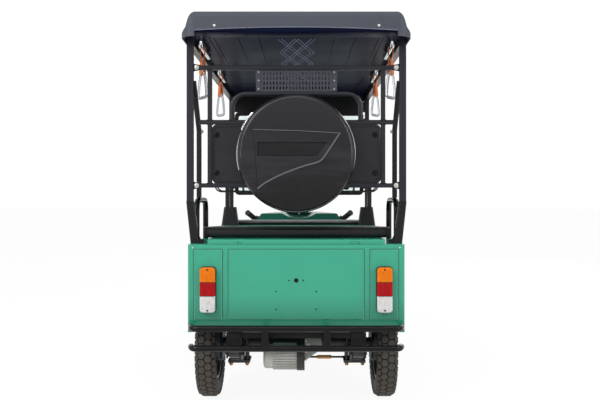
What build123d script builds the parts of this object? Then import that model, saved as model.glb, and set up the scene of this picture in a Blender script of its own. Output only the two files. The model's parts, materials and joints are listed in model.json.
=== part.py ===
"""Electric passenger rickshaw: one front wheel, a roofed cab and two bench rows.

Millimetres. X is to the right, +Y forward and Z up from the ground. The origin
is on the ground, under the middle of the length.
"""

import os
from math import atan2, cos, degrees, pi, radians, sin, sqrt, tan

from build123d import *

os.makedirs("parts", exist_ok=True)

# ---- Driving dimensions: the running gear -------------------------------------
wheelbase = 2090.0
rear_overhang = 400.0        # rear axle to the back of the bumper
tyre_diameter = 500.0
tyre_width = 92.0
tyre_wall = 9.0
rim_diameter = 318.0
rim_width = 62.0
rim_wall = 3.0
half_track = 412.0           # centre plane of each rear wheel
rake = 25.0                  # steering axis, degrees from upright
fork_offset = 73.4           # wheel centre ahead of the steering axis
guard_gap = 34.0             # tyre to the inside of the front mudguard
guard_wall = 6.0

# ---- Driving dimensions: the body ---------------------------------------------
body_width = 950.0
body_bottom = 359.0
body_top = 744.0
sheet = 2.0                  # body panels
tail_inset = 75.0            # bumper's back to the tail face
box_depth = 645.0            # tail face to the front of the rear seat box
rail_width = 40.0            # chassis rails
rail_height = 60.0
rail_x = 275.0
sill_size = 40.0
floor_sheet = 4.0

# ---- Driving dimensions: the cab ----------------------------------------------
post_size = 30.0
post_x = 477.0
rear_post_inset = 165.0      # bumper's back to the rear posts
driver_back_ahead = 925.0    # rear axle to the driver's backrest posts
screen_behind = 515.0        # windshield posts behind the front wheel centre
roof_line = 1633.0           # underside of the roof rails
roof_rail_height = 31.0
roof_top = 1770.0
roof_half_width = 501.0      # tip of the eave
roof_side_x = 478.0          # side wall of the roof shell
roof_rear_inset = 25.0
roof_front_ahead = 215.0     # windshield posts to the front of the roof
roof_wall = 4.0
lining_sheet = 4.0

# ---- Stations along the length ------------------------------------------------
guard_inner = tyre_diameter / 2 + guard_gap
guard_outer = guard_inner + guard_wall
total_length = rear_overhang + wheelbase + guard_outer
rear_y = -total_length / 2
axle_y = rear_y + rear_overhang
front_wheel_y = axle_y + wheelbase
wheel_z = tyre_diameter / 2
tail_y = rear_y + tail_inset
box_front_y = tail_y + box_depth
rear_post_y = rear_y + rear_post_inset
driver_back_y = axle_y + driver_back_ahead
screen_y = front_wheel_y - screen_behind
roof_rear_y = rear_y + roof_rear_inset
roof_front_y = screen_y + roof_front_ahead

rake_slope = tan(radians(rake))
axis_up = (0, -sin(radians(rake)), cos(radians(rake)))


def steer_y(z):
    """Y of the steering axis at the height z."""
    return front_wheel_y - fork_offset / cos(radians(rake)) - (z - wheel_z) * rake_slope


# ---- Shapes that repeat -------------------------------------------------------
def bar(start, end, width, depth, across=(1, 0, 0), corner=0.0):
    """A bar of rectangular section from start to end, its width along across."""
    run = Vector(*end) - Vector(*start)
    with BuildSketch(Plane(origin=start, x_dir=across, z_dir=run)) as section:
        if corner > 0:
            RectangleRounded(width, depth, corner)
        else:
            Rectangle(width, depth)
    extrude(section.sketch, amount=run.length)


def rod(start, end, diameter):
    """A round bar from start to end."""
    run = Vector(*end) - Vector(*start)
    with BuildSketch(Plane(origin=start, z_dir=run)) as section:
        Circle(diameter / 2)
    extrude(section.sketch, amount=run.length)


def bent_tube(points, diameter, bend):
    """A round tube along straight runs joined by arcs of radius bend."""
    with BuildLine() as route:
        FilletPolyline(*points, radius=bend)
    with BuildSketch(Plane(origin=route.line @ 0, z_dir=route.line % 0)) as section:
        Circle(diameter / 2)
    sweep(sections=section.sketch, path=route.line)


def block(low, high, mode=Mode.ADD):
    """A box between two corners."""
    with BuildSketch(Plane.XY.offset(low[2])) as base:
        with Locations(((low[0] + high[0]) / 2, (low[1] + high[1]) / 2)):
            Rectangle(high[0] - low[0], high[1] - low[1])
    extrude(base.sketch, amount=high[2] - low[2], mode=mode)


def save(piece, name):
    """Label a finished sub-part and write its file."""
    piece.part.label = name
    export_step(piece.part, f"parts/{name}.step")


# ---- Wheels -------------------------------------------------------------------
rim_radius = rim_diameter / 2          # bead seat
rim_flange = 13.0
well_depth = 14.0
well_half = 12.0
hub_radius = 27.0
shaft_radius = 12.5
shaft_gap = 0.05                       # running clearance of a shaft in its hub
drum_radius = 84.0
drum_depth = 50.0
drum_wall = 6.0
hub_out = 24.0                         # hub past the wheel's centre plane
disc_holes = 8
disc_hole = 24.0
spindle_radius = 8.0                   # front axle
front_hub_half = 52.0
dish = 8.0                             # rim's centre line to the disc's rim
half_tyre = tyre_width / 2
tyre_radius = tyre_diameter / 2
crown_drop = 11.0                      # shoulder below the crown
shoulder_in = 7.0
bead_half = rim_width / 2
vent_radius = (drum_radius + rim_radius - well_depth) / 2


def tyre(centre_x, centre_y):
    """Revolve a hollow tyre about its axle."""
    plane = Plane(origin=(centre_x, centre_y, wheel_z), x_dir=(1, 0, 0), z_dir=(0, -1, 0))
    with BuildSketch(plane) as section:
        for inset, mode in ((0.0, Mode.ADD), (tyre_wall, Mode.SUBTRACT)):
            side = half_tyre - inset
            crown = tyre_radius - inset
            shoulder = (side - shoulder_in, crown - crown_drop)
            foot = bead_half - inset
            lip = rim_radius + rim_flange
            belly = (side, (tyre_radius + lip) / 2)
            with BuildLine():
                Polyline((-foot, lip), (-foot, rim_radius), (foot, rim_radius), (foot, lip))
                ThreePointArc((foot, lip), belly, shoulder)
                ThreePointArc(shoulder, (0, crown), (-shoulder[0], shoulder[1]))
                ThreePointArc((-shoulder[0], shoulder[1]), (-belly[0], belly[1]), (-foot, lip))
            make_face(mode=mode)
    revolve(section.sketch, axis=Axis((centre_x, centre_y, wheel_z), (1, 0, 0)))


def rim_barrel(plane, axis):
    """Revolve the pressed rim: two flanges, two bead seats and the well."""
    flange_x = bead_half + rim_wall
    top = rim_radius + rim_flange
    well = rim_radius - well_depth
    under = rim_radius - rim_wall
    outline = [
        (flange_x, under), (flange_x, top), (bead_half, top), (bead_half, rim_radius),
        (well_half + rim_wall, rim_radius), (well_half, well),
        (-well_half, well), (-well_half - rim_wall, rim_radius),
        (-bead_half, rim_radius), (-bead_half, top), (-flange_x, top), (-flange_x, under),
        (-well_half - 2 * rim_wall, under), (-well_half - rim_wall, well - rim_wall),
        (well_half + rim_wall, well - rim_wall), (well_half + 2 * rim_wall, under),
    ]
    with BuildSketch(plane) as section:
        with BuildLine():
            Polyline(*outline, close=True)
        make_face()
    revolve(section.sketch, axis=axis)


def wheel_disc(plane, axis):
    """Revolve the dished disc that joins the rim to the hub."""
    well = rim_radius - well_depth - rim_wall
    outline = [
        (0, hub_radius - 1), (0, drum_radius), (-dish, well - 12), (-dish, well),
        (-dish + rim_wall, well), (-dish + rim_wall, well - 12), (rim_wall, drum_radius),
        (rim_wall, hub_radius - 1),
    ]
    with BuildSketch(plane) as section:
        with BuildLine():
            Polyline(*outline, close=True)
        make_face()
    revolve(section.sketch, axis=axis)


def hub_and_drum(plane, axis, bore, depth, out):
    """Revolve the hub and the open brake drum round it."""
    with BuildSketch(plane) as section:
        with BuildLine():
            Polyline(
                (-depth, bore), (-depth, hub_radius), (0, hub_radius),
                (0, drum_radius - drum_wall), (-depth, drum_radius - drum_wall),
                (-depth, drum_radius), (rim_wall, drum_radius), (rim_wall, hub_radius),
                (out, hub_radius), (out, bore), close=True,
            )
        make_face()
    revolve(section.sketch, axis=axis)


def disc_vents(centre, direction):
    """Cut the ring of round holes through the disc."""
    with BuildSketch(Plane(origin=centre, z_dir=direction)) as vents:
        with PolarLocations(vent_radius, disc_holes):
            Circle(disc_hole / 2)
    extrude(vents.sketch, amount=2 * dish, both=True, mode=Mode.SUBTRACT)


for name, side in (("left", -1), ("right", 1)):
    centre = (side * half_track, axle_y, wheel_z)
    with BuildPart() as rear_tyre:
        tyre(*centre[:2])
    save(rear_tyre, f"rear_tyre_{name}")

    # The rim's own x runs outboard, so one outline serves both sides.
    rim_axis = Axis(centre, (1, 0, 0))
    rim_plane = Plane(origin=centre, x_dir=(side, 0, 0), z_dir=(0, -side, 0))
    with BuildPart() as rear_rim:
        rim_barrel(rim_plane, rim_axis)
        wheel_disc(rim_plane, rim_axis)
        hub_and_drum(rim_plane, rim_axis, shaft_radius + shaft_gap, drum_depth, hub_out)
        disc_vents(centre, (side, 0, 0))
    save(rear_rim, f"rear_rim_{name}")

front_centre = (0, front_wheel_y, wheel_z)
with BuildPart() as front_tyre:
    tyre(*front_centre[:2])
save(front_tyre, "front_tyre")

front_axis = Axis(front_centre, (1, 0, 0))
front_plane = Plane(origin=front_centre, x_dir=(1, 0, 0), z_dir=(0, -1, 0))
with BuildPart() as front_rim:
    rim_barrel(front_plane, front_axis)
    wheel_disc(front_plane, front_axis)
    hub_and_drum(
        front_plane, front_axis, spindle_radius + shaft_gap, front_hub_half, front_hub_half
    )
    disc_vents(front_centre, (1, 0, 0))
save(front_rim, "front_rim")


# ---- Rear axle, springs and motor ---------------------------------------------
axle_tube = 50.0
axle_end_gap = 5.0                     # axle's flange to the drum's edge
backing_plate = 4.0
spring_x = rail_x
spring_width = 50.0
leaf_thick = 6.0
leaf_half_lengths = (300.0, 250.0, 200.0, 150.0, 100.0)
spring_rise = 62.0                     # eyes above the middle of the top leaf
spring_seat = 20.0                     # block between the axle and the spring
eye_radius = 14.0
eye_bolt = 12.0
clamp_plate = 12.0
clamp_x = 38.0                         # U-bolt legs from the spring's middle
clamp_y = 36.0
clamp_rod = 12.0
clamp_tail = 14.0
carrier_x = 40.0                       # cast gear housing
carrier_radius = 84.0
carrier_width = 78.0
motor_length = 112.0
motor_radius = 62.0
motor_drop = 47.0                      # motor shaft below the axle
motor_back = 84.0                      # and behind it
gear_case = 36.0                       # thickness of the case between the two
fin_depth = 6.0
fin_count = 30
cap_length = 44.0

spring_radius = (leaf_half_lengths[0] ** 2 + spring_rise ** 2) / (2 * spring_rise)
top_leaf_z = wheel_z - axle_tube / 2 - spring_seat
spring_centre_z = top_leaf_z + spring_radius
axle_end = half_track - drum_depth - axle_end_gap
axle_centre = (0, axle_y, wheel_z)
motor_centre = (0, axle_y - motor_back, wheel_z - motor_drop)
flange_face = carrier_x - carrier_width / 2

with BuildPart() as rear_axle:
    rod((-axle_end, axle_y, wheel_z), (axle_end, axle_y, wheel_z), axle_tube)
    for side in (-1, 1):
        plate_x = side * axle_end
        inner_x = side * (axle_end - backing_plate)
        rod((inner_x, axle_y, wheel_z), (plate_x, axle_y, wheel_z), 2 * (drum_radius - 1))
        outer_x = side * (half_track + hub_out + 10)
        rod((plate_x, axle_y, wheel_z), (outer_x, axle_y, wheel_z), 2 * shaft_radius)
    # The gear housing is a turned casting with a neck on each side.
    neck = axle_tube / 2 + 8
    with BuildSketch(Plane(origin=axle_centre, x_dir=(1, 0, 0), z_dir=(0, -1, 0))) as housing:
        with BuildLine():
            half = carrier_width / 2
            Polyline(
                (carrier_x - half - 50, 0), (carrier_x - half - 50, neck),
                (carrier_x - half, neck), (carrier_x - half, carrier_radius - 10),
                (carrier_x - half + 12, carrier_radius), (carrier_x + 4, carrier_radius),
                (carrier_x + half, carrier_radius - 26), (carrier_x + half + 40, neck),
                (carrier_x + half + 60, neck), (carrier_x + half + 60, 0), close=True,
            )
        make_face()
    revolve(housing.sketch, axis=Axis(axle_centre, (1, 0, 0)))
    # Saddles under the tube, hollowed to the curve of the top leaf.
    for side in (-1, 1):
        saddle_plane = Plane(
            origin=(side * spring_x - spring_width / 2, axle_y, 0), x_dir=(0, 1, 0), z_dir=(1, 0, 0)
        )
        with BuildSketch(saddle_plane) as saddle:
            with Locations((0, wheel_z - axle_tube / 2)):
                Rectangle(90, 2 * spring_seat)
            with Locations((0, spring_centre_z)):
                Circle(spring_radius, mode=Mode.INTERSECT)
        extrude(saddle.sketch, amount=spring_width)
    # The flat case that carries the motor's pinion to the housing.
    with BuildSketch(Plane(origin=(flange_face, 0, 0), x_dir=(0, 1, 0), z_dir=(1, 0, 0))) as case:
        with Locations((axle_y, wheel_z)):
            Circle(carrier_radius - 12)
        with Locations((motor_centre[1], motor_centre[2])):
            Circle(motor_radius + 4)
        make_hull()
    extrude(case.sketch, amount=gear_case)
save(rear_axle, "rear_axle")

with BuildPart() as motor:
    plane = Plane(origin=motor_centre, x_dir=(0, 1, 0), z_dir=(1, 0, 0))
    with BuildSketch(plane.offset(flange_face - motor_length)) as body:
        Circle(motor_radius)
        fin_pitch = 2 * pi * motor_radius / fin_count
        with PolarLocations(motor_radius, fin_count):
            Rectangle(2 * fin_depth, fin_pitch / 2, mode=Mode.SUBTRACT)
    extrude(body.sketch, amount=motor_length)
    with BuildSketch(plane.offset(flange_face - motor_length - cap_length)) as cap:
        Circle(motor_radius - fin_depth)
    extrude(cap.sketch, amount=cap_length)
    fillet(motor.edges().filter_by(GeomType.CIRCLE).sort_by(Axis.X)[0], 14)
save(motor, "motor")

with BuildPart() as leaf_springs:
    for side in (-1, 1):
        inner = side * spring_x - spring_width / 2
        side_plane = Plane(origin=(inner, axle_y, 0), x_dir=(0, 1, 0), z_dir=(1, 0, 0))
        for number, half in enumerate(leaf_half_lengths):
            upper = spring_radius + number * leaf_thick
            lower = upper + leaf_thick
            angle = degrees(half / spring_radius)
            with BuildSketch(side_plane) as leaf:
                with BuildLine():
                    low = CenterArc((0, spring_centre_z), lower, 270 - angle, 2 * angle)
                    high = CenterArc((0, spring_centre_z), upper, 270 - angle, 2 * angle)
                    Line(low @ 0, high @ 0)
                    Line(low @ 1, high @ 1)
                make_face()
            extrude(leaf.sketch, amount=spring_width)
        end_angle = leaf_half_lengths[0] / spring_radius
        for end in (-1, 1):
            eye_y = end * (spring_radius + leaf_thick / 2) * sin(end_angle)
            eye_z = spring_centre_z - (spring_radius + leaf_thick / 2) * cos(end_angle)
            with BuildSketch(side_plane) as eye:
                with Locations((eye_y, eye_z)):
                    Circle(eye_radius)
                    Circle(eye_bolt / 2, mode=Mode.SUBTRACT)
            extrude(eye.sketch, amount=spring_width)
            with BuildSketch(side_plane) as bore:
                with Locations((eye_y, eye_z)):
                    Circle(eye_bolt / 2)
            extrude(bore.sketch, amount=spring_width, mode=Mode.SUBTRACT)
save(leaf_springs, "leaf_springs")
eye_offset = (spring_radius + leaf_thick / 2) * sin(end_angle)
eye_height = spring_centre_z - (spring_radius + leaf_thick / 2) * cos(end_angle)

stack_z = top_leaf_z - len(leaf_half_lengths) * leaf_thick
with BuildPart() as spring_clamps:
    for side in (-1, 1):
        low = (side * spring_x - clamp_x - 14, axle_y - clamp_y - 14, stack_z - clamp_plate)
        high = (side * spring_x + clamp_x + 14, axle_y + clamp_y + 14, stack_z)
        block(low, high)
        for end in (-1, 1):
            leg_y = axle_y + end * clamp_y
            foot = stack_z - clamp_plate - clamp_tail
            shoulder_z = wheel_z + axle_tube / 2 + clamp_rod / 2
            bent_tube(
                (
                    (side * spring_x - clamp_x, leg_y, foot),
                    (side * spring_x - clamp_x, leg_y, shoulder_z),
                    (side * spring_x + clamp_x, leg_y, shoulder_z),
                    (side * spring_x + clamp_x, leg_y, foot),
                ),
                clamp_rod, clamp_x * 0.6,
            )
save(spring_clamps, "spring_clamps")


# ---- Chassis ------------------------------------------------------------------
rail_start_inset = 25.0                # tail face to the rails' rear ends
rail_end_ahead = 60.0                  # windshield posts to the rails' front ends
outrigger = 30.0
neck_tube = 42.0
neck_bend = 90.0
neck_drop = 40.0                       # tubes' start below the rails' tops
head_tube = 62.0
head_bore = 36.0
head_length = 170.0
head_top_z = 770.0
hanger_sheet = 6.0
shackle_gap = 1.0
bumper_bracket_x = 133.0
bumper_bracket = 30.0
bumper_tube = 28.0
bumper_post_depth = 22.0
bumper_z = (302.0, 387.0)
bumper_half = 455.0
bumper_turn = 38.0                     # how far the ends turn forward
bumper_bend = 30.0

rail_top = body_bottom
rail_low = rail_top - rail_height
rail_rear_y = tail_y + rail_start_inset
rail_front_y = screen_y + rail_end_ahead
sill_x = post_x
cross_y = (
    rail_rear_y + outrigger / 2,
    axle_y + eye_offset + 50,
    driver_back_y,
    rail_front_y - outrigger / 2,
)
outrigger_y = (box_front_y + outrigger / 2 + 10, driver_back_y, screen_y)
head_low_z = head_top_z - head_length * cos(radians(rake))

with BuildPart() as chassis_frame:
    for side in (-1, 1):
        rail_z = (rail_top + rail_low) / 2
        bar(
            (side * rail_x, rail_rear_y, rail_z), (side * rail_x, rail_front_y, rail_z),
            rail_width, rail_height,
        )
        sill_z = rail_top - sill_size / 2
        bar(
            (side * sill_x, outrigger_y[0] - outrigger / 2, sill_z),
            (side * sill_x, rail_front_y, sill_z),
            sill_size, sill_size,
        )
        for y in outrigger_y:
            bar(
                (side * rail_x, y, rail_top - outrigger / 2),
                (side * sill_x, y, rail_top - outrigger / 2), outrigger, outrigger,
                across=(0, 1, 0),
            )
    for y in cross_y:
        bar(
            (-rail_x, y, rail_top - outrigger / 2), (rail_x, y, rail_top - outrigger / 2),
            outrigger, outrigger, across=(0, 1, 0),
        )
    # Two tubes sweep up from the front cross member to the steering head.
    head_mid_z = head_low_z + 45
    for side in (-1, 1):
        bent_tube(
            (
                (side * 120, rail_front_y, rail_top - neck_drop),
                (side * 105, rail_front_y + 101, rail_top - neck_drop + 6),
                (side * 22, steer_y(head_mid_z) - 4, head_mid_z),
            ),
            neck_tube, neck_bend,
        )
    head_low = (0, steer_y(head_low_z), head_low_z)
    head_top = (0, steer_y(head_top_z), head_top_z)
    rod(head_low, head_top, head_tube)
    with BuildSketch(Plane(origin=head_low, z_dir=axis_up).offset(-1)) as bore:
        Circle(head_bore / 2)
    extrude(bore.sketch, amount=head_length + 2, mode=Mode.SUBTRACT)
    # Spring hangers: a fixed pair of cheeks in front, swinging shackles behind.
    for side in (-1, 1):
        for end in (-1, 1):
            eye_y = axle_y + end * eye_offset
            for cheek in (-1, 1):
                inner = side * spring_x + cheek * (spring_width / 2 + shackle_gap)
                outer = inner + cheek * hanger_sheet
                low = (min(inner, outer), eye_y - eye_radius - 4, eye_height - eye_radius - 4)
                high = (max(inner, outer), eye_y + eye_radius + 4, rail_top - 6)
                block(low, high)
            rod(
                (side * spring_x - spring_width / 2 - 12, eye_y, eye_height),
                (side * spring_x + spring_width / 2 + 12, eye_y, eye_height), eye_bolt - 0.2,
            )
            low = (side * spring_x - spring_width / 2 - shackle_gap, eye_y - 18, rail_low - 4)
            high = (side * spring_x + spring_width / 2 + shackle_gap, eye_y + 18, rail_top - 6)
            block(low, high)
save(chassis_frame, "chassis_frame")

# Each bracket is a foot plate and a web, with a flange on the rear cross member.
with BuildPart() as bumper_brackets:
    post_front_y = rear_y + (bumper_tube + bumper_post_depth) / 2
    foot_z = rail_low + 16
    for side in (-1, 1):
        x = side * bumper_bracket_x
        half = bumper_bracket / 2
        block((x - half, post_front_y, foot_z), (x + half, rail_rear_y, foot_z + hanger_sheet))
        block((x - 3, post_front_y, foot_z + hanger_sheet), (x + 3, rail_rear_y, rail_top))
        block((x - half, rail_rear_y - hanger_sheet, foot_z + hanger_sheet), (x + half, rail_rear_y, rail_top))
save(bumper_brackets, "bumper_brackets")

with BuildPart() as rear_bumper:
    tube_y = rear_y + bumper_tube / 2
    for z in bumper_z:
        bent_tube(
            (
                (-bumper_half, tube_y + bumper_turn, z), (-bumper_half + 12, tube_y, z),
                (bumper_half - 12, tube_y, z), (bumper_half, tube_y + bumper_turn, z),
            ),
            bumper_tube, bumper_bend,
        )
    for side in (-1, 1):
        bar(
            (side * bumper_bracket_x, tube_y, bumper_z[0]),
            (side * bumper_bracket_x, tube_y, bumper_z[1]), bumper_bracket, bumper_post_depth,
        )
save(rear_bumper, "rear_bumper")


# ---- Body panels --------------------------------------------------------------
arch_gap = 26.0                        # tyre to the wheel arch
arch_depth = 126.0                     # side panel to the inner arch wall
tail_corner = 14.0
tuck_z = 414.0                         # crease, below which the tail leans in
tuck_in = 10.0
top_shelf = 95.0                       # fixed shelf along each side of the lid
emboss = 4.0
emboss_corner = 12.0
emboss_low_z = 415.0
emboss_high_z = 721.0
emboss_middle_half = 295.0
emboss_side = (324.0, 445.0)
lock_z = 587.0
lock_radius = 10.0
lock_screw_x = 31.0
plate_z = 500.0
plate_pitch_x = 175.0
plate_pitch_z = 77.0
plate_hole = 3.5
lid_height = 21.0
lid_half = 388.0
lid_sheet = 3.0
lid_notches = ((-259.0, -241.0), (235.0, 279.0))   # x ranges cut in the lid's rear wall
lid_notch_high = 12.0

half_body = body_width / 2
arch_radius = tyre_diameter / 2 + arch_gap
arch_inner = half_body - arch_depth


def lean_in(y, foot_z):
    """Cut the tail's foot, from the crease down, so that it leans in from the plane at y."""
    with BuildSketch(Plane(origin=(-half_body - 1, 0, 0), x_dir=(0, 1, 0), z_dir=(1, 0, 0))) as wedge:
        with BuildLine():
            Polyline(
                (y, tuck_z), (y - 5, tuck_z), (y - 5, foot_z), (y + tuck_in, foot_z), close=True
            )
        make_face()
    extrude(wedge.sketch, amount=2 * half_body + 2, mode=Mode.SUBTRACT)


with BuildPart() as box_inside:
    block((-half_body + sheet, tail_y + sheet, body_bottom + sheet),
          (half_body - sheet, box_front_y - sheet, body_top - sheet))
    fillet(box_inside.edges().filter_by(Axis.Z).group_by(Axis.Y)[0], tail_corner - sheet)
    lean_in(tail_y + sheet, body_bottom + sheet)

# The whole rear box, from which its panels are taken: walls, floor, side shelves and arches.
with BuildPart() as box_shell:
    block((-half_body, tail_y, body_bottom), (half_body, box_front_y, body_top))
    fillet(box_shell.edges().filter_by(Axis.Z).group_by(Axis.Y)[0], tail_corner)
    lean_in(tail_y, body_bottom)
    add(box_inside.part, mode=Mode.SUBTRACT)
    block(
        (-half_body + top_shelf, tail_y + sheet, body_top - 2 * sheet),
        (half_body - top_shelf, box_front_y - sheet, body_top + 1),
        mode=Mode.SUBTRACT,
    )
    for side in (-1, 1):
        arch_plane = Plane(origin=(side * (arch_inner - sheet), axle_y, wheel_z), z_dir=(side, 0, 0))
        with BuildSketch(arch_plane) as arch:
            Circle(arch_radius + sheet)
        extrude(arch.sketch, amount=arch_depth + sheet / 2)
        with BuildSketch(arch_plane.offset(sheet)) as well:
            Circle(arch_radius)
        extrude(well.sketch, amount=arch_depth + 1, mode=Mode.SUBTRACT)
    # What the arches leave below the box is cut away.
    block(
        (-half_body - 1, tail_y - 1, wheel_z - arch_radius - 10),
        (half_body + 1, box_front_y + 1, body_bottom),
        mode=Mode.SUBTRACT,
    )

panel_end_y = tail_y + tail_corner
with BuildPart() as tail_panel:
    add(box_shell.part)
    block((-half_body - 1, panel_end_y, 0), (half_body + 1, box_front_y + 1, roof_top), mode=Mode.SUBTRACT)
    # Raised fields pressed into the tail face.
    face_plane = Plane(origin=(0, tail_y, 0), x_dir=(1, 0, 0), z_dir=(0, -1, 0))
    with BuildSketch(face_plane) as fields:
        field_z = (emboss_low_z + emboss_high_z) / 2
        field_height = emboss_high_z - emboss_low_z
        with Locations((0, field_z)):
            RectangleRounded(2 * emboss_middle_half, field_height, emboss_corner)
        for side in (-1, 1):
            with Locations((side * (emboss_side[0] + emboss_side[1]) / 2, field_z)):
                RectangleRounded(emboss_side[1] - emboss_side[0], field_height, emboss_corner)
    extrude(fields.sketch, amount=emboss, taper=45)
    with BuildSketch(face_plane.offset(emboss + 1)) as holes:
        with Locations((0, lock_z)):
            Circle(lock_radius)
        for side in (-1, 1):
            with Locations((side * lock_screw_x, lock_z)):
                Circle(plate_hole)
        with Locations((0, plate_z)):
            with GridLocations(plate_pitch_x, plate_pitch_z, 2, 2):
                Circle(plate_hole)
    extrude(holes.sketch, amount=-(emboss + sheet + 2), mode=Mode.SUBTRACT)
save(tail_panel, "tail_panel")

floor_edge_x = arch_inner - sheet
with BuildPart() as side_panels:
    add(box_shell.part)
    block((-half_body - 1, tail_y - 1, 0), (half_body + 1, panel_end_y, roof_top), mode=Mode.SUBTRACT)
    block(
        (-half_body - 1, box_front_y - sheet, 0), (half_body + 1, box_front_y + 1, roof_top),
        mode=Mode.SUBTRACT,
    )
    block(
        (-floor_edge_x, tail_y, body_bottom - 1), (floor_edge_x, box_front_y, body_bottom + sheet),
        mode=Mode.SUBTRACT,
    )
save(side_panels, "side_panels")

with BuildPart() as box_floor:
    add(box_shell.part)
    block(
        (-floor_edge_x, panel_end_y, body_bottom),
        (floor_edge_x, box_front_y - sheet, body_bottom + sheet), mode=Mode.INTERSECT,
    )
save(box_floor, "box_floor")

with BuildPart() as seat_base:
    block((-half_body, box_front_y - sheet, body_bottom), (half_body, box_front_y, body_top))
save(seat_base, "seat_base")

lid_low = body_top
lid_top = body_top + lid_height
lid_front_y = box_front_y - 6
with BuildPart() as seat_lid:
    block((-lid_half, tail_y + 6, lid_low), (lid_half, lid_front_y, lid_top))
    fillet(seat_lid.edges().filter_by(Axis.X).group_by(Axis.Z)[-1], 5)
    block(
        (-lid_half + lid_sheet, tail_y + 6 + lid_sheet, lid_low - 1),
        (lid_half - lid_sheet, lid_front_y - lid_sheet, lid_top - lid_sheet),
        mode=Mode.SUBTRACT,
    )
    for start_x, end_x in lid_notches:
        block((start_x, tail_y, lid_low - 1), (end_x, tail_y + 20, lid_low + lid_notch_high),
              mode=Mode.SUBTRACT)
save(seat_lid, "seat_lid")

# ---- Floor, driver's seat box and nose ----------------------------------------
driver_box_half = 470.0
driver_box_top = 778.0
driver_box_depth = 400.0
driver_box_back = 60.0                 # box's rear wall behind the backrest posts
toe_height = 40.0
shield_top_z = 716.0
shield_half = 452.0
shield_ahead = 78.0                    # windshield posts to the shield's foot
shield_lean = 46.0                     # top of the shield ahead of its foot
shield_lip = 30.0                      # flange at the top, on which the nose seats
nose_sheet = 3.0
nose_sections = (                      # z, half width, front past the shield's foot
    (430.0, 226.0, 180.0),
    (600.0, 214.0, 226.0),
    (716.0, 168.0, 214.0),
)
nose_corner = 46.0
fork_channel_half = 142.0              # open channel in which the fork turns
fork_channel_top = 632.0
fork_channel_back = 122.0              # past the shield's foot

floor_z = body_bottom + floor_sheet
floor_half = sill_x + sill_size / 2
nose_floor_y = screen_y + shield_ahead
with BuildPart() as floor_pan:
    block((-floor_half, box_front_y, body_bottom), (floor_half, nose_floor_y, floor_z))
    for side in (-1, 1):
        inner = side * floor_half
        outer = side * (floor_half + floor_sheet)
        low = (min(inner, outer), box_front_y, body_bottom - sill_size)
        high = (max(inner, outer), nose_floor_y, floor_z)
        block(low, high)
    rib_count = 9
    rib_start = box_front_y + 60
    rib_pitch = 55.0
    with BuildSketch(Plane.XY.offset(floor_z)) as ribs:
        for number in range(rib_count):
            with Locations((0, rib_start + number * rib_pitch)):
                RectangleRounded(2 * (floor_half - 60), 12, 5)
    extrude(ribs.sketch, amount=2)
save(floor_pan, "floor_pan")

driver_box_rear_y = driver_back_y - driver_box_back
driver_box_front_y = driver_box_rear_y + driver_box_depth
with BuildPart() as driver_seat_box:
    block(
        (-driver_box_half, driver_box_rear_y, floor_z),
        (driver_box_half, driver_box_front_y, driver_box_top),
    )
    fillet(driver_seat_box.edges().filter_by(Axis.Z), 20)
    block(
        (-driver_box_half + sheet, driver_box_rear_y + sheet, floor_z - 1),
        (driver_box_half - sheet, driver_box_front_y - sheet, driver_box_top - sheet),
        mode=Mode.SUBTRACT,
    )
save(driver_seat_box, "driver_seat_box")

battery_size = (172.0, 232.0, 216.0)
battery_columns = 4
battery_gap = 18.0
battery_y = (driver_box_rear_y + driver_box_front_y) / 2
with BuildPart() as battery_pack:
    with BuildSketch(Plane.XY.offset(floor_z)) as bases:
        with Locations((0, battery_y)):
            with GridLocations(battery_size[0] + battery_gap, 1, battery_columns, 1):
                RectangleRounded(battery_size[0], battery_size[1], 6)
    extrude(bases.sketch, amount=battery_size[2])
save(battery_pack, "battery_pack")

with BuildPart() as leg_shield:
    foot = (screen_y + shield_ahead, floor_z)
    lean_y = foot[0] + shield_lean
    with BuildSketch(Plane(origin=(-shield_half, 0, 0), x_dir=(0, 1, 0), z_dir=(1, 0, 0))) as wall:
        with BuildLine():
            Polyline(
                (foot[0] - toe_height, floor_z), (foot[0] - toe_height, floor_z + floor_sheet),
                (foot[0] - floor_sheet, floor_z + toe_height), (lean_y - 10, shield_top_z - 20),
                (lean_y - 4, shield_top_z), (lean_y + shield_lip, shield_top_z),
                (lean_y + shield_lip, shield_top_z - floor_sheet), (lean_y, shield_top_z - floor_sheet),
                (foot[0], floor_z + toe_height), (foot[0], floor_z), close=True,
            )
        make_face()
    extrude(wall.sketch, amount=2 * shield_half)
save(leg_shield, "leg_shield")

nose_back_y = nose_floor_y + shield_lean + shield_lip


def nose_volume(inset):
    """Loft the nose from three rounded sections, drawn in by inset."""
    with BuildPart() as volume:
        for z, half, ahead in nose_sections:
            front = nose_floor_y + ahead - inset
            back = nose_back_y + inset
            with BuildSketch(Plane.XY.offset(z)):
                with Locations((0, (front + back) / 2)):
                    RectangleRounded(2 * (half - inset), front - back, nose_corner - inset)
        loft(ruled=True)
    return volume.part


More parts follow.
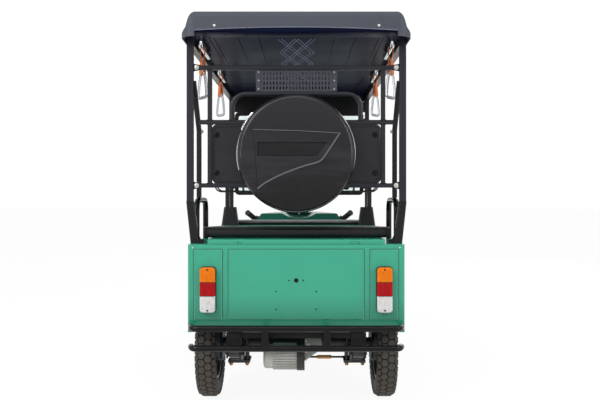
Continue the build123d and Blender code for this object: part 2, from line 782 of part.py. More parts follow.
nose_outer = nose_volume(0.0)
nose_inner = nose_volume(nose_sheet)
nose_top_z = nose_sections[-1][0]
with BuildPart() as nose_cowl:
    add(nose_outer)
    add(nose_inner, mode=Mode.SUBTRACT)
    # The hood keeps its top; the underside and the fork's channel are open.
    block(
        (-fork_channel_half, nose_floor_y + fork_channel_back, 0),
        (fork_channel_half, front_wheel_y, fork_channel_top),
        mode=Mode.SUBTRACT,
    )
    with BuildSketch(Plane.XY.offset(nose_top_z - nose_sheet)) as hood:
        half = nose_sections[-1][1]
        front = nose_floor_y + nose_sections[-1][2]
        with Locations((0, (front + nose_back_y) / 2)):
            RectangleRounded(2 * half, front - nose_back_y, nose_corner)
    extrude(hood.sketch, amount=nose_sheet)
    # The steering head passes through the hood.
    with BuildSketch(Plane(origin=(0, steer_y(head_low_z), head_low_z), z_dir=axis_up)) as head_hole:
        Circle(head_tube / 2 + 4)
    extrude(head_hole.sketch, amount=head_length + 40, both=True, mode=Mode.SUBTRACT)
save(nose_cowl, "nose_cowl")

# ---- Steering: fork, handlebar, nacelle and front mudguard --------------------
fork_leg_x = 80.0
fork_upper = 32.0
fork_lower = 42.0
fork_slider_length = 225.0
fork_foot = 22.0                       # slider below the spindle
crown_reach = 365.0                    # spindle to the crown along the legs
crown_thick = 18.0
crown_margin = 26.0
stem_gap = 3.0                         # stem inside the head tube
head_bearing = 14.0                    # length of each bearing on the stem
guard_brace = 12.0
guard_half = 58.0
guard_skirt = 26.0
guard_front_angle = 0.0                # degrees round the spindle from straight ahead
guard_sweep = 196.0
bar_tube = 24.0
bar_z = 800.0
bar_bend = 55.0
grip_length = 120.0
grip_diameter = 33.0
grip_inner = (298.0, 789.0)            # x and z at the grip's inner end
grip_outer = (352.0, 840.0)
grip_front_ahead = -8.0                # windshield posts to the grips' inner ends
clamp_half = 22.0
clamp_diameter = 50.0
nacelle_sheet = 3.0
nacelle_sections = (                   # past the windshield posts, low z, high z, half widths
    (-85.0, 745.0, 838.0, 318.0, 262.0),
    (100.0, 742.0, 846.0, 196.0, 150.0),
    (245.0, 744.0, 846.0, 108.0, 88.0),
)
nacelle_corner = 16.0
nacelle_dip = 36.0                     # hollow in the middle of the rear edge
nacelle_dip_half = 118.0
nacelle_dip_length = 120.0
headlamp_size = (156.0, 80.0)
headlamp_corner = 30.0
headlamp_depth = 26.0

spindle = Vector(0, front_wheel_y, wheel_z)
up = Vector(*axis_up)
fork_forward = Vector(0, cos(radians(rake)), sin(radians(rake)))


def on_leg(side, reach):
    """Point on a fork leg, reach above the spindle along the leg."""
    return tuple(spindle + up * reach + Vector(side * fork_leg_x, 0, 0))


crown_centre = spindle + up * crown_reach
stem_foot = crown_centre - fork_forward * fork_offset
stem_reach = (bar_z - clamp_half - stem_foot.Z) / up.Z
with BuildPart() as fork:
    for side in (-1, 1):
        rod(on_leg(side, fork_slider_length - 4), on_leg(side, crown_reach + crown_thick), fork_upper)
        rod(on_leg(side, -fork_foot), on_leg(side, fork_slider_length), fork_lower)
    crown_plane = Plane(origin=tuple(crown_centre), x_dir=(1, 0, 0), z_dir=axis_up)
    with BuildSketch(crown_plane) as crown:
        for side in (-1, 1):
            with Locations((side * fork_leg_x, 0)):
                Circle(crown_margin)
        with Locations((0, -fork_offset)):
            Circle(crown_margin + 6)
        make_hull()
    extrude(crown.sketch, amount=crown_thick)
    rod(tuple(stem_foot), tuple(stem_foot + up * stem_reach), head_bore - 2 * stem_gap)
    # A bearing at each end of the head tube.
    head_start = Vector(*head_low)
    for along in (0.0, head_length - head_bearing):
        rod(
            tuple(head_start + up * along), tuple(head_start + up * (along + head_bearing)),
            head_bore - 2 * shaft_gap,
        )
    rod(
        (-fork_leg_x - fork_lower / 2 - 6, front_wheel_y, wheel_z),
        (fork_leg_x + fork_lower / 2 + 6, front_wheel_y, wheel_z), 2 * spindle_radius,
    )
    brace_plane = Plane(
        origin=tuple(spindle + up * guard_outer), x_dir=(1, 0, 0), z_dir=axis_up
    )
    with BuildSketch(brace_plane) as brace:
        RectangleRounded(2 * fork_leg_x, 34, 6)
    extrude(brace.sketch, amount=guard_brace)
save(fork, "fork")

bar_y = steer_y(bar_z)
grip_start = (grip_inner[0], screen_y + grip_front_ahead, grip_inner[1])
grip_run = sqrt(
    grip_length ** 2 - (grip_outer[0] - grip_inner[0]) ** 2 - (grip_outer[1] - grip_inner[1]) ** 2
)
grip_end = (grip_outer[0], grip_start[1] - grip_run, grip_outer[1])
with BuildPart() as handlebar:
    bent_tube(
        (
            (-grip_end[0], grip_end[1], grip_end[2]), (-grip_start[0], grip_start[1], grip_start[2]),
            (-150, bar_y, bar_z), (150, bar_y, bar_z),
            grip_start, grip_end,
        ),
        bar_tube, bar_bend,
    )
    clamp_foot = stem_foot + up * stem_reach
    with BuildSketch(Plane(origin=(0, bar_y, bar_z - clamp_half / 2))) as boss:
        Circle(clamp_diameter / 2)
    extrude(boss.sketch, amount=nacelle_sections[1][2] - nacelle_sheet - bar_z + clamp_half / 2)
    rod(tuple(clamp_foot), tuple(clamp_foot + up * clamp_half), clamp_diameter)
save(handlebar, "handlebar")

with BuildPart() as hand_grips:
    for side in (-1, 1):
        start = Vector(side * grip_start[0], *grip_start[1:])
        end = Vector(side * grip_end[0], *grip_end[1:])
        along = (end - start).normalized()
        before = (start - Vector(side * 150, bar_y, bar_z)).get_angle(end - start)
        bend_end = bar_bend * tan(radians(before / 2)) + 1
        plane = Plane(origin=tuple(start + along * bend_end), z_dir=tuple(along))
        with BuildSketch(plane) as sleeve:
            Circle(grip_diameter / 2)
            Circle(bar_tube / 2, mode=Mode.SUBTRACT)
        extrude(sleeve.sketch, amount=grip_length - bend_end)
        with BuildSketch(plane.offset(grip_length - bend_end)) as stop:
            Circle(grip_diameter / 2 + 3)
        extrude(stop.sketch, amount=8)
save(hand_grips, "hand_grips")

with BuildPart() as front_mudguard:
    section_plane = Plane(
        origin=tuple(spindle), x_dir=(1, 0, 0), z_dir=(0, -1, 0)
    )
    with BuildSketch(section_plane) as guard:
        with BuildLine():
            inner_half = guard_half - guard_wall / 2
            Polyline(
                (-guard_half, guard_outer - guard_skirt - 14), (-guard_half, guard_outer - 16),
                (-guard_half + 20, guard_outer), (guard_half - 20, guard_outer),
                (guard_half, guard_outer - 16), (guard_half, guard_outer - guard_skirt - 14),
                (inner_half, guard_outer - guard_skirt - 14), (inner_half, guard_outer - 18),
                (guard_half - 22, guard_outer - guard_wall / 2),
                (-guard_half + 22, guard_outer - guard_wall / 2), (-inner_half, guard_outer - 18),
                (-inner_half, guard_outer - guard_skirt - 14), close=True,
            )
        make_face()
    # The section stands straight up; the guard runs from the front over the top.
    revolve(
        guard.sketch, axis=Axis(tuple(spindle), (1, 0, 0)), revolution_arc=guard_sweep - 90,
    )
    revolve(guard.sketch, axis=Axis(tuple(spindle), (-1, 0, 0)), revolution_arc=90)
save(front_mudguard, "front_mudguard")


def nacelle_volume(inset, drop):
    """Loft the nacelle's three sections, drawn in by inset and down by drop."""
    with BuildPart() as volume:
        for ahead, low, high, half_low, half_high in nacelle_sections:
            section = Plane(origin=(0, screen_y + ahead, 0), x_dir=(1, 0, 0), z_dir=(0, -1, 0))
            with BuildSketch(section) as outline:
                with BuildLine():
                    Polyline(
                        (-half_low + inset, low - drop), (-half_high + inset, high - inset),
                        (half_high - inset, high - inset), (half_low - inset, low - drop),
                        close=True,
                    )
                make_face()
                fillet(outline.vertices().group_by(Axis.Z)[-1], nacelle_corner - inset)
        loft(ruled=True)
        dip_radius = (nacelle_dip_half ** 2 + nacelle_dip ** 2) / (2 * nacelle_dip)
        dip_z = nacelle_sections[0][2] - nacelle_dip + dip_radius
        back = screen_y + nacelle_sections[0][0] - 1
        with BuildSketch(Plane(origin=(0, back, 0), x_dir=(-1, 0, 0), z_dir=(0, 1, 0))) as dip:
            with Locations((0, dip_z)):
                Circle(dip_radius + inset)
        extrude(dip.sketch, amount=nacelle_dip_length, taper=8, mode=Mode.SUBTRACT)
    return volume.part


nacelle_outer = nacelle_volume(0.0, 0.0)
nacelle_inner = nacelle_volume(nacelle_sheet, 20.0)
with BuildPart() as nacelle_hollow:
    add(nacelle_inner)
    block(
        (-400, screen_y - 200, 600), (400, screen_y + nacelle_sections[0][0] + nacelle_sheet, 900),
        mode=Mode.SUBTRACT,
    )
    block(
        (-400, screen_y + nacelle_sections[-1][0] - nacelle_sheet, 600),
        (400, front_wheel_y, 900), mode=Mode.SUBTRACT,
    )
with BuildPart() as nacelle:
    add(nacelle_outer)
    add(nacelle_hollow.part, mode=Mode.SUBTRACT)
    with BuildSketch(Plane(origin=(-300, bar_y, bar_z), z_dir=(1, 0, 0))) as bar_hole:
        Circle(bar_tube / 2 + 5)
    extrude(bar_hole.sketch, amount=600, mode=Mode.SUBTRACT)
save(nacelle, "nacelle")

lamp_y = screen_y + nacelle_sections[-1][0]
with BuildPart() as headlamp:
    lamp_z = (nacelle_sections[-1][1] + nacelle_sections[-1][2]) / 2
    with BuildSketch(Plane(origin=(0, lamp_y, lamp_z), x_dir=(-1, 0, 0), z_dir=(0, 1, 0))) as lens:
        RectangleRounded(*headlamp_size, headlamp_corner)
    extrude(lens.sketch, amount=headlamp_depth)
    fillet(headlamp.faces().sort_by(Axis.Y)[-1].edges(), 10)
save(headlamp, "headlamp")

# ---- Posts, rails and their boots ---------------------------------------------
post_corner = 4.0
rear_boot_top = 932.0
rear_boot_foot = (434.0, 473.0)        # x range on the shelf
rear_boot_depth = 50.0
boot_toe = (415.0, 18.0)               # inner end and height of the foot on the shelf
boot_toe_half = 21.0
gusset_top = 821.0
gusset_half = 3.0
driver_post_x = 434.0
driver_post_size = 26.0
driver_boot_centre = 417.0
driver_boot_foot = (102.0, 80.0)       # x by y, on the seat box
driver_boot_head = (74.0, 46.0)
driver_boot_height = 112.0
driver_back_top = 1392.0
bow_height = 20.0
bow_width = 30.0

rail_top_z = roof_line + roof_rail_height
driver_boot_top = driver_box_top + driver_boot_height
with BuildPart() as rear_posts:
    for side in (-1, 1):
        x = side * post_x
        bar((x, rear_post_y, rear_boot_top), (x, rear_post_y, roof_line),
            post_size, post_size, corner=post_corner)
save(rear_posts, "rear_posts")

with BuildPart() as front_posts:
    for side in (-1, 1):
        x = side * post_x
        bar((x, screen_y, floor_z), (x, screen_y, roof_line),
            post_size, post_size, corner=post_corner)
save(front_posts, "front_posts")

with BuildPart() as post_boots:
    for side in (-1, 1):
        foot_x = side * (rear_boot_foot[0] + rear_boot_foot[1]) / 2
        foot_wide = rear_boot_foot[1] - rear_boot_foot[0]
        with BuildSketch(Plane.XY.offset(body_top)) as foot:
            with Locations((foot_x, rear_post_y)):
                RectangleRounded(foot_wide, rear_boot_depth, 8)
        with BuildSketch(Plane.XY.offset(rear_boot_top)) as head:
            with Locations((side * post_x, rear_post_y)):
                RectangleRounded(post_size + 4, post_size + 4, 8)
        loft([foot.sketch, head.sketch], ruled=True)
        # A flat foot and a gusset on the inner side, which take the post's bolts.
        side_plane = Plane(origin=(0, rear_post_y, 0), x_dir=(1, 0, 0), z_dir=(0, -1, 0))
        toe_x, toe_high = boot_toe
        neck_x = rear_boot_foot[0] + 4
        with BuildSketch(side_plane) as toe:
            with BuildLine():
                Polyline(
                    (side * neck_x, body_top), (side * toe_x, body_top),
                    (side * toe_x, body_top + toe_high / 2), (side * (toe_x + 8), body_top + toe_high),
                    (side * neck_x, body_top + toe_high), close=True,
                )
            make_face()
        extrude(toe.sketch, amount=boot_toe_half, both=True)
        with BuildSketch(side_plane) as gusset:
            with BuildLine():
                Polyline(
                    (side * (toe_x + 12), body_top + toe_high - 4),
                    (side * (post_x - 18), gusset_top), (side * (post_x - 8), gusset_top),
                    (side * (post_x - 8), body_top + toe_high - 4), close=True,
                )
            make_face()
        extrude(gusset.sketch, amount=gusset_half, both=True)
        with BuildSketch(Plane.XY.offset(driver_box_top)) as foot:
            with Locations((side * driver_boot_centre, driver_back_y)):
                RectangleRounded(*driver_boot_foot, 12)
        with BuildSketch(Plane.XY.offset(driver_boot_top)) as head:
            with Locations((side * driver_boot_centre, driver_back_y)):
                RectangleRounded(*driver_boot_head, 12)
        loft([foot.sketch, head.sketch], ruled=True)
save(post_boots, "post_boots")

# ---- Roof ---------------------------------------------------------------------
eave_low = 1643.0
eave_knee = 1662.0
eave_high = 1686.0
roof_shoulder = 1702.0
roof_shoulder_in = 4.0                 # the sides lean in up to the shoulder
roof_corner = 76.0
roof_edge_drop = 5.0                   # crown above the top corners
roof_rear_top = 1754.0
roof_rear_round = 26.0
roof_front_top = 1716.0
rear_arch = (1668.0, 1681.0)           # lower edge of the back wall, at its ends and middle
visor_run = 330.0                      # sloping front of the roof
plan_corner = 60.0


def roof_volume(inset):
    """The roof's outside, drawn in by inset: three profiles intersected."""
    tip = roof_half_width - inset
    side_x = roof_side_x - inset
    top = roof_top - inset
    rear = roof_rear_y + inset
    front = roof_front_y - inset
    corner = roof_corner - inset
    shoulder_x = side_x - roof_shoulder_in
    low = eave_low if inset == 0 else eave_low - 10
    with BuildPart() as volume:
        with BuildSketch(Plane(origin=(0, rear, 0), x_dir=(-1, 0, 0), z_dir=(0, 1, 0))):
            with BuildLine():
                for side in (-1, 1):
                    Polyline(
                        (0, low), (side * tip, low), (side * tip, eave_knee),
                        (side * side_x, eave_high), (side * shoulder_x, roof_shoulder),
                        (side * shoulder_x, top - corner - roof_edge_drop),
                    )
                    RadiusArc(
                        (side * shoulder_x, top - corner - roof_edge_drop),
                        (side * (shoulder_x - corner), top - roof_edge_drop), -side * corner,
                    )
                ThreePointArc(
                    (-shoulder_x + corner, top - roof_edge_drop), (0, top),
                    (shoulder_x - corner, top - roof_edge_drop),
                )
            make_face()
        extrude(amount=front - rear)
        with BuildSketch(Plane(origin=(-tip, 0, 0), x_dir=(0, 1, 0), z_dir=(1, 0, 0))) as side_view:
            with BuildLine():
                round_in = roof_rear_round - inset
                rear_top = roof_rear_top - inset
                Polyline(
                    (front, roof_front_top - inset), (front, low), (rear, low),
                    (rear, rear_top - round_in),
                )
                RadiusArc((rear, rear_top - round_in), (rear + round_in, rear_top), round_in)
                ThreePointArc(
                    (rear + round_in, rear_top), ((rear + front) / 2 - 300, top),
                    (front - visor_run, top - 8),
                )
                ThreePointArc(
                    (front - visor_run, top - 8), (front - visor_run / 3, top - 34),
                    (front, roof_front_top - inset),
                )
            make_face()
        extrude(amount=2 * tip, mode=Mode.INTERSECT)
        with BuildSketch(Plane.XY.offset(low)):
            with Locations((0, (rear + front) / 2)):
                RectangleRounded(2 * tip, front - rear, plan_corner - inset)
        extrude(amount=roof_top - low + 10, mode=Mode.INTERSECT)
    return volume.part


roof_outer = roof_volume(0.0)
roof_inner = roof_volume(roof_wall)
with BuildPart() as roof_shell:
    add(roof_outer)
    add(roof_inner, mode=Mode.SUBTRACT)
    # The back wall stops above the lining in a low arch.
    with BuildSketch(Plane(origin=(0, roof_rear_y - 1, 0), x_dir=(-1, 0, 0), z_dir=(0, 1, 0))) as arch:
        with BuildLine():
            arch_half = roof_side_x - 40
            Polyline(
                (-arch_half, rear_arch[0]), (-arch_half, eave_low - 1),
                (arch_half, eave_low - 1), (arch_half, rear_arch[0]),
            )
            ThreePointArc((arch_half, rear_arch[0]), (0, rear_arch[1]), (-arch_half, rear_arch[0]))
        make_face()
    extrude(arch.sketch, amount=roof_wall + 2, mode=Mode.SUBTRACT)
save(roof_shell, "roof_shell")

lining_top = rail_top_z + lining_sheet
with BuildPart() as headliner:
    add(roof_inner)
    block((-600, rear_y - 100, lining_top), (600, -rear_y + 100, roof_top + 50), mode=Mode.SUBTRACT)
    block((-600, rear_y - 100, eave_low - 50), (600, -rear_y + 100, rail_top_z), mode=Mode.SUBTRACT)
    # Its rear edge turns up behind the roof's back wall.
    block(
        (-roof_side_x + 60, roof_rear_y + roof_wall, rail_top_z),
        (roof_side_x - 60, roof_rear_y + roof_wall + lining_sheet, rear_arch[1] + 12),
    )
save(headliner, "headliner")

bow_y = (roof_rear_y + 70, rear_post_y, (rear_post_y + driver_back_y) / 2, driver_back_y, screen_y)
with BuildPart() as roof_frame:
    for side in (-1, 1):
        x = side * post_x
        z = roof_line + roof_rail_height / 2
        bar((x, rear_post_y - post_size / 2, z), (x, screen_y + post_size / 2, z),
            post_size, roof_rail_height)
    for y in bow_y:
        bar((-roof_side_x + 20, y, lining_top + bow_height / 2),
            (roof_side_x - 20, y, lining_top + bow_height / 2), bow_width, bow_height,
            across=(0, 1, 0))
save(roof_frame, "roof_frame")

# ---- Rear seat frame, its panels and the spare wheel --------------------------
frame_bar = 20.0
frame_ahead = 10.0                     # frame's centre plane past the posts' centres
frame_top_z = 1533.0
frame_mid_z = 1288.0
frame_low_z = 1003.0
frame_upright_x = 390.0
frame_end_x = 438.0
bracket_sheet = 5.0
bracket_height = 34.0
hoop_x = 289.0
hoop_top_z = 1416.0
hoop_tube = 22.0
hoop_bend = 62.0
mesh_half = 182.0
mesh_edge = 20.0
mesh_sheet = 1.5
mesh_frame = 10.0
mesh_slot = (7.0, 16.0)
mesh_pitch = (14.6, 21.5)
mesh_grid = (21, 4)
back_panel_sheet = 6.0
back_panel_corner = 22.0
spare_z = 1143.0
spare_strap_x = 45.0
spare_strap = 30.0
spare_stud = 16.0
cover_radius = 256.0
cover_depth = 128.0
cover_sheet = 3.0
cover_round = 26.0
spare_tyre_gap = 8.0
band_width = 26.0
band_sheet = 1.5
band_back = 34.0                       # band behind the cover's open edge
fin_raise = 4.0
fin_outline = (                        # raised fin on the cover, from its centre
    (-186, 99), (189, 84), (127, -11), (103, -41), (34, -57), (-66, -95), (-130, -128), (-167, -156),
)
recess_outline = ((-165, 45), (133, 45), (87, -13), (-167, -13))
recess_depth = 3.0

frame_y = rear_post_y + frame_ahead
frame_back_y = frame_y - frame_bar / 2
post_inner_x = post_x - post_size / 2
with BuildPart() as seat_crossbars:
    for z in (frame_top_z, frame_mid_z, frame_low_z):
        bar((-frame_end_x, frame_y, z), (frame_end_x, frame_y, z), frame_bar, frame_bar,
            across=(0, 1, 0), corner=3)
    # Tapered brackets from the bars' ends to the posts.
    for side in (-1, 1):
        for z in (frame_top_z, frame_low_z):
            bracket_plane = Plane(
                origin=(0, frame_back_y + bracket_sheet / 2, z), x_dir=(1, 0, 0), z_dir=(0, -1, 0)
            )
            with BuildSketch(bracket_plane) as bracket:
                with BuildLine():
                    Polyline(
                        (side * (frame_end_x - 14), -frame_bar / 2),
                        (side * (frame_end_x - 14), frame_bar / 2),
                        (side * post_inner_x, bracket_height / 2),
                        (side * post_inner_x, -bracket_height / 2), close=True,
                    )
                make_face()
            extrude(bracket.sketch, amount=bracket_sheet / 2, both=True)
save(seat_crossbars, "seat_crossbars")

half_bar = frame_bar / 2
with BuildPart() as seat_uprights:
    for side in (-1, 1):
        x = side * frame_upright_x
        for low_z, high_z in ((frame_low_z, frame_mid_z), (frame_mid_z, frame_top_z)):
            bar((x, frame_y, low_z + half_bar), (x, frame_y, high_z - half_bar),
                frame_bar, frame_bar, corner=3)
save(seat_uprights, "seat_uprights")

with BuildPart() as seat_hoop:
    foot_z = frame_mid_z + half_bar
    bent_tube(
        (
            (-hoop_x, frame_y, foot_z), (-hoop_x, frame_y, hoop_top_z),
            (hoop_x, frame_y, hoop_top_z), (hoop_x, frame_y, foot_z),
        ),
        hoop_tube, hoop_bend,
    )
save(seat_hoop, "seat_hoop")

# Flat straps between the bars and a stud carry the spare wheel.
with BuildPart() as spare_carrier:
    for side in (-1, 1):
        x = side * spare_strap_x
        block((x - spare_strap / 2, frame_back_y, frame_low_z + half_bar),
              (x + spare_strap / 2, frame_back_y + bracket_sheet, frame_mid_z - half_bar))
    block((-spare_strap_x, frame_back_y, spare_z - 40),
          (spare_strap_x, frame_back_y + bracket_sheet, spare_z + 40))
    rod((0, frame_back_y, spare_z), (0, frame_back_y - cover_depth / 2 - 10, spare_z), spare_stud)
save(spare_carrier, "spare_carrier")

mesh_low = hoop_top_z + hoop_tube / 2
mesh_high = frame_top_z - frame_bar / 2
with BuildPart() as mesh_panel:
    block((-mesh_half, frame_y - mesh_sheet / 2, mesh_low), (mesh_half, frame_y + mesh_sheet / 2, mesh_high))
    for side in (-1, 1):
        edge = sorted((side * mesh_half, side * (mesh_half - mesh_edge)))
        block((edge[0], frame_y - mesh_frame / 2, mesh_low), (edge[1], frame_y + mesh_frame / 2, mesh_high))
    mesh_plane = Plane(
        origin=(0, frame_y - mesh_sheet, (mesh_low + mesh_high) / 2), x_dir=(-1, 0, 0), z_dir=(0, 1, 0)
    )
    with BuildSketch(mesh_plane) as slots:
        with GridLocations(*mesh_pitch, *mesh_grid):
            SlotOverall(mesh_slot[1], mesh_slot[0], rotation=90)
    extrude(slots.sketch, amount=2 * mesh_sheet, mode=Mode.SUBTRACT)
save(mesh_panel, "mesh_panel")

panel_low = frame_low_z + frame_bar / 2
panel_high = frame_mid_z - frame_bar / 2
panel_half = frame_upright_x - frame_bar / 2
panel_y = frame_back_y + bracket_sheet
with BuildPart() as rear_back_panel:
    panel_plane = Plane(origin=(0, panel_y, (panel_low + panel_high) / 2), x_dir=(1, 0, 0), z_dir=(0, -1, 0))
    with BuildSketch(panel_plane) as panel:
        RectangleRounded(2 * panel_half, panel_high - panel_low, back_panel_corner)
    extrude(panel.sketch, amount=-back_panel_sheet)
    # The rim stands proud behind, around a shallow field.
    with BuildSketch(panel_plane) as field:
        RectangleRounded(2 * panel_half - 24, panel_high - panel_low - 24, back_panel_corner - 8)
    extrude(field.sketch, amount=-2, mode=Mode.SUBTRACT)
save(rear_back_panel, "rear_back_panel")

spare_centre = (0, frame_back_y - cover_depth / 2, spare_z)
spare_tyre_radius = cover_radius - cover_sheet - spare_tyre_gap
with BuildPart() as spare_wheel:
    half = half_tyre - 4
    with BuildSketch(Plane(origin=spare_centre, x_dir=(0, 1, 0), z_dir=(1, 0, 0))) as section:
        with BuildLine():
            Polyline((-bead_half, rim_radius), (bead_half, rim_radius))
            ThreePointArc((bead_half, rim_radius), (half, 200), (bead_half, spare_tyre_radius - 8))
            ThreePointArc(
                (bead_half, spare_tyre_radius - 8), (0, spare_tyre_radius),
                (-bead_half, spare_tyre_radius - 8),
            )
            ThreePointArc((-bead_half, spare_tyre_radius - 8), (-half, 200), (-bead_half, rim_radius))
        make_face()
        with BuildLine():
            Polyline(
                (-bead_half, rim_radius), (bead_half, rim_radius), (bead_half, rim_radius - 4),
                (4, rim_radius - 4), (4, spare_stud / 2), (0, spare_stud / 2),
                (0, rim_radius - 4), (-bead_half, rim_radius - 4), close=True,
            )
        make_face()
    revolve(section.sketch, axis=Axis(spare_centre, (0, 1, 0)))
save(spare_wheel, "spare_wheel")

with BuildPart() as spare_cover:
    cover_plane = Plane(origin=(0, frame_back_y, spare_z), x_dir=(1, 0, 0), z_dir=(0, -1, 0))
    # Half of the section, on the plane of the wheel's axis: a drum with a rounded edge.
    edge_plane = Plane(origin=(0, frame_back_y, spare_z), x_dir=(1, 0, 0), z_dir=(0, 0, 1))
    with BuildSketch(edge_plane) as section:
        for inset, mode in ((0.0, Mode.ADD), (cover_sheet, Mode.SUBTRACT)):
            radius = cover_radius - inset
            depth = cover_depth - inset
            turn = cover_round - inset
            with BuildLine():
                Polyline((0, -depth), (0, inset), (radius, inset), (radius, -depth + turn))
                TangentArc((radius, -depth + turn), (radius - turn, -depth), tangent=(0, -1))
                Line((radius - turn, -depth), (0, -depth))
            make_face(mode=mode)
    revolve(section.sketch, axis=Axis((0, frame_back_y, spare_z), (0, 1, 0)))
    with BuildSketch(cover_plane.offset(cover_depth)) as fin:
        with BuildLine():
            Polyline(*fin_outline, close=True)
        make_face()
        fillet(fin.vertices(), 7)
    extrude(fin.sketch, amount=fin_raise, taper=30)
    with BuildSketch(cover_plane.offset(cover_depth + fin_raise)) as recess:
        with BuildLine():
            Polyline(*recess_outline, close=True)
        make_face()
        fillet(recess.vertices(), 5)
    extrude(recess.sketch, amount=-recess_depth, taper=20, mode=Mode.SUBTRACT)
save(spare_cover, "spare_cover")

with BuildPart() as spare_band:
    with BuildSketch(cover_plane.offset(band_back)) as hoop:
        Circle(cover_radius + band_sheet)
        Circle(cover_radius, mode=Mode.SUBTRACT)
    extrude(hoop.sketch, amount=band_width)
save(spare_band, "spare_band")

# ---- Cushions -----------------------------------------------------------------
soft_gap = 0.3
rear_cushion_half = 430.0
rear_cushion_height = 65.0
back_cushion_thick = 70.0
back_cushion_drop = 30.0               # below the lowest bar's centre
back_cushion_high = 1284.0
back_cushion_half = 372.0
driver_cushion_half = 440.0
driver_cushion_height = 62.0
driver_back_half = 346.0
driver_back_low = 969.0
driver_back_thick = 60.0
cushion_corner = 26.0

rear_cushion_y = (rear_post_y + 25, lid_front_y)
with BuildPart() as rear_cushion:
    block((-rear_cushion_half, rear_cushion_y[0], lid_top + soft_gap),
          (rear_cushion_half, rear_cushion_y[1], lid_top + rear_cushion_height))
    fillet(rear_cushion.edges().filter_by(Axis.Z), cushion_corner)
    fillet(rear_cushion.faces().sort_by(Axis.Z)[-1].edges(), 16)
save(rear_cushion, "rear_cushion")

frame_front_y = frame_y + frame_bar / 2
with BuildPart() as rear_backrest:
    block((-back_cushion_half, frame_front_y + soft_gap, frame_low_z - back_cushion_drop),
          (back_cushion_half, frame_front_y + back_cushion_thick, back_cushion_high))
    fillet(rear_backrest.faces().sort_by(Axis.Y)[-1].edges(), 22)
save(rear_backrest, "rear_backrest")

with BuildPart() as driver_cushion:
    block((-driver_cushion_half, driver_back_y + 45, driver_box_top + soft_gap),
          (driver_cushion_half, driver_box_front_y, driver_box_top + driver_cushion_height))
    fillet(driver_cushion.edges().filter_by(Axis.Z), cushion_corner)
    fillet(driver_cushion.faces().sort_by(Axis.Z)[-1].edges(), 16)
save(driver_cushion, "driver_cushion")

driver_bar = 22.0
with BuildPart() as driver_back_frame:
    top = driver_back_top
    for side in (-1, 1):
        x = side * driver_post_x
        bar((x, driver_back_y, driver_boot_top), (x, driver_back_y, top),
            driver_post_size, driver_post_size, corner=3)
    inner = driver_post_x - driver_post_size / 2
    for z in (driver_back_low + 60, top - driver_bar / 2):
        bar((-inner, driver_back_y, z), (inner, driver_back_y, z), driver_bar, driver_bar,
            across=(0, 1, 0), corner=3)
save(driver_back_frame, "driver_back_frame")

driver_back_front_y = driver_back_y + driver_bar / 2
with BuildPart() as driver_backrest:
    block((-driver_back_half, driver_back_front_y + soft_gap, driver_back_low),
          (driver_back_half, driver_back_front_y + driver_back_thick, driver_back_top - 30))
    fillet(driver_backrest.faces().sort_by(Axis.Y)[-1].edges(), 20)
save(driver_backrest, "driver_backrest")

# ---- Armrests, braces, grab rails and straps ----------------------------------
armrest_x = 461.0
armrest_tube = 27.0
armrest_reach = (85.0, 385.0)          # legs past the rear posts' centres
armrest_top = 950.0
armrest_bend = 55.0
brace_x = 464.0
brace_size = 22.0
brace_top_z = 1470.0
brace_knee_z = 1267.0
brace_ahead = 180.0                    # knee past the rear posts' centres
grab_x = 436.0
grab_tube = 20.0
grab_drop = 26.0                       # rail's centre below the lining
grab_rear = (30.0, 330.0)              # past the rear posts' centres
grab_front = (740.0, 1040.0)
strap_at = (100.0, 810.0)
strap_width = 26.0
strap_thick = 3.0
strap_length = 122.0
grip_ring = 122.0
grip_half = 50.0
grip_bar = 15.0

with BuildPart() as armrests:
    for side in (-1, 1):
        x = side * armrest_x
        near, far = (rear_post_y + reach for reach in armrest_reach)
        top = armrest_top - armrest_tube / 2
        bent_tube(((x, near, body_top), (x, near, top), (x, far, top), (x, far, body_top)),
                  armrest_tube, armrest_bend)
save(armrests, "armrests")

with BuildPart() as side_braces:
    knee_y = rear_post_y + brace_ahead
    for side in (-1, 1):
        x = side * brace_x
        with BuildLine() as route:
            FilletPolyline(
                (x, rear_post_y + post_size / 2 - 1, brace_top_z), (x, knee_y, brace_knee_z),
                (x, knee_y, armrest_top - 4), radius=28,
            )
        with BuildSketch(Plane(origin=route.line @ 0, x_dir=(1, 0, 0), z_dir=route.line % 0)) as section:
            RectangleRounded(brace_size, brace_size, 3)
        sweep(sections=section.sketch, path=route.line)
    add(rear_posts.part, mode=Mode.SUBTRACT)
    add(armrests.part, mode=Mode.SUBTRACT)
save(side_braces, "side_braces")

grab_z = rail_top_z - grab_drop
with BuildPart() as grab_rails:
    for side in (-1, 1):
        x = side * grab_x
        for start, end in (grab_rear, grab_front):
            bent_tube(
                (
                    (x, rear_post_y + start, rail_top_z), (x, rear_post_y + start, grab_z),
                    (x, rear_post_y + end, grab_z), (x, rear_post_y + end, rail_top_z),
                ),
                grab_tube, 20,
            )
save(grab_rails, "grab_rails")

# Each strap is a flat loop over its rail; the handle hangs in its lower end.
strap_low_z = grab_z + grab_tube / 2 + soft_gap - strap_length
with BuildPart() as strap_loops:
    for side in (-1, 1):
        for at in strap_at:
            y = rear_post_y + at
            plane = Plane(
                origin=(side * grab_x, y - strap_width / 2, grab_z), x_dir=(-1, 0, 0), z_dir=(0, 1, 0)
            )
            with BuildSketch(plane) as loop:
                length = grab_z - strap_low_z
                radius = grab_tube / 2 + soft_gap + strap_thick
                with Locations((0, -length / 2)):
                    SlotCenterToCenter(length, 2 * radius, rotation=90)
                    SlotCenterToCenter(length, 2 * (radius - strap_thick), rotation=90, mode=Mode.SUBTRACT)
            extrude(loop.sketch, amount=strap_width)
save(strap_loops, "strap_loops")

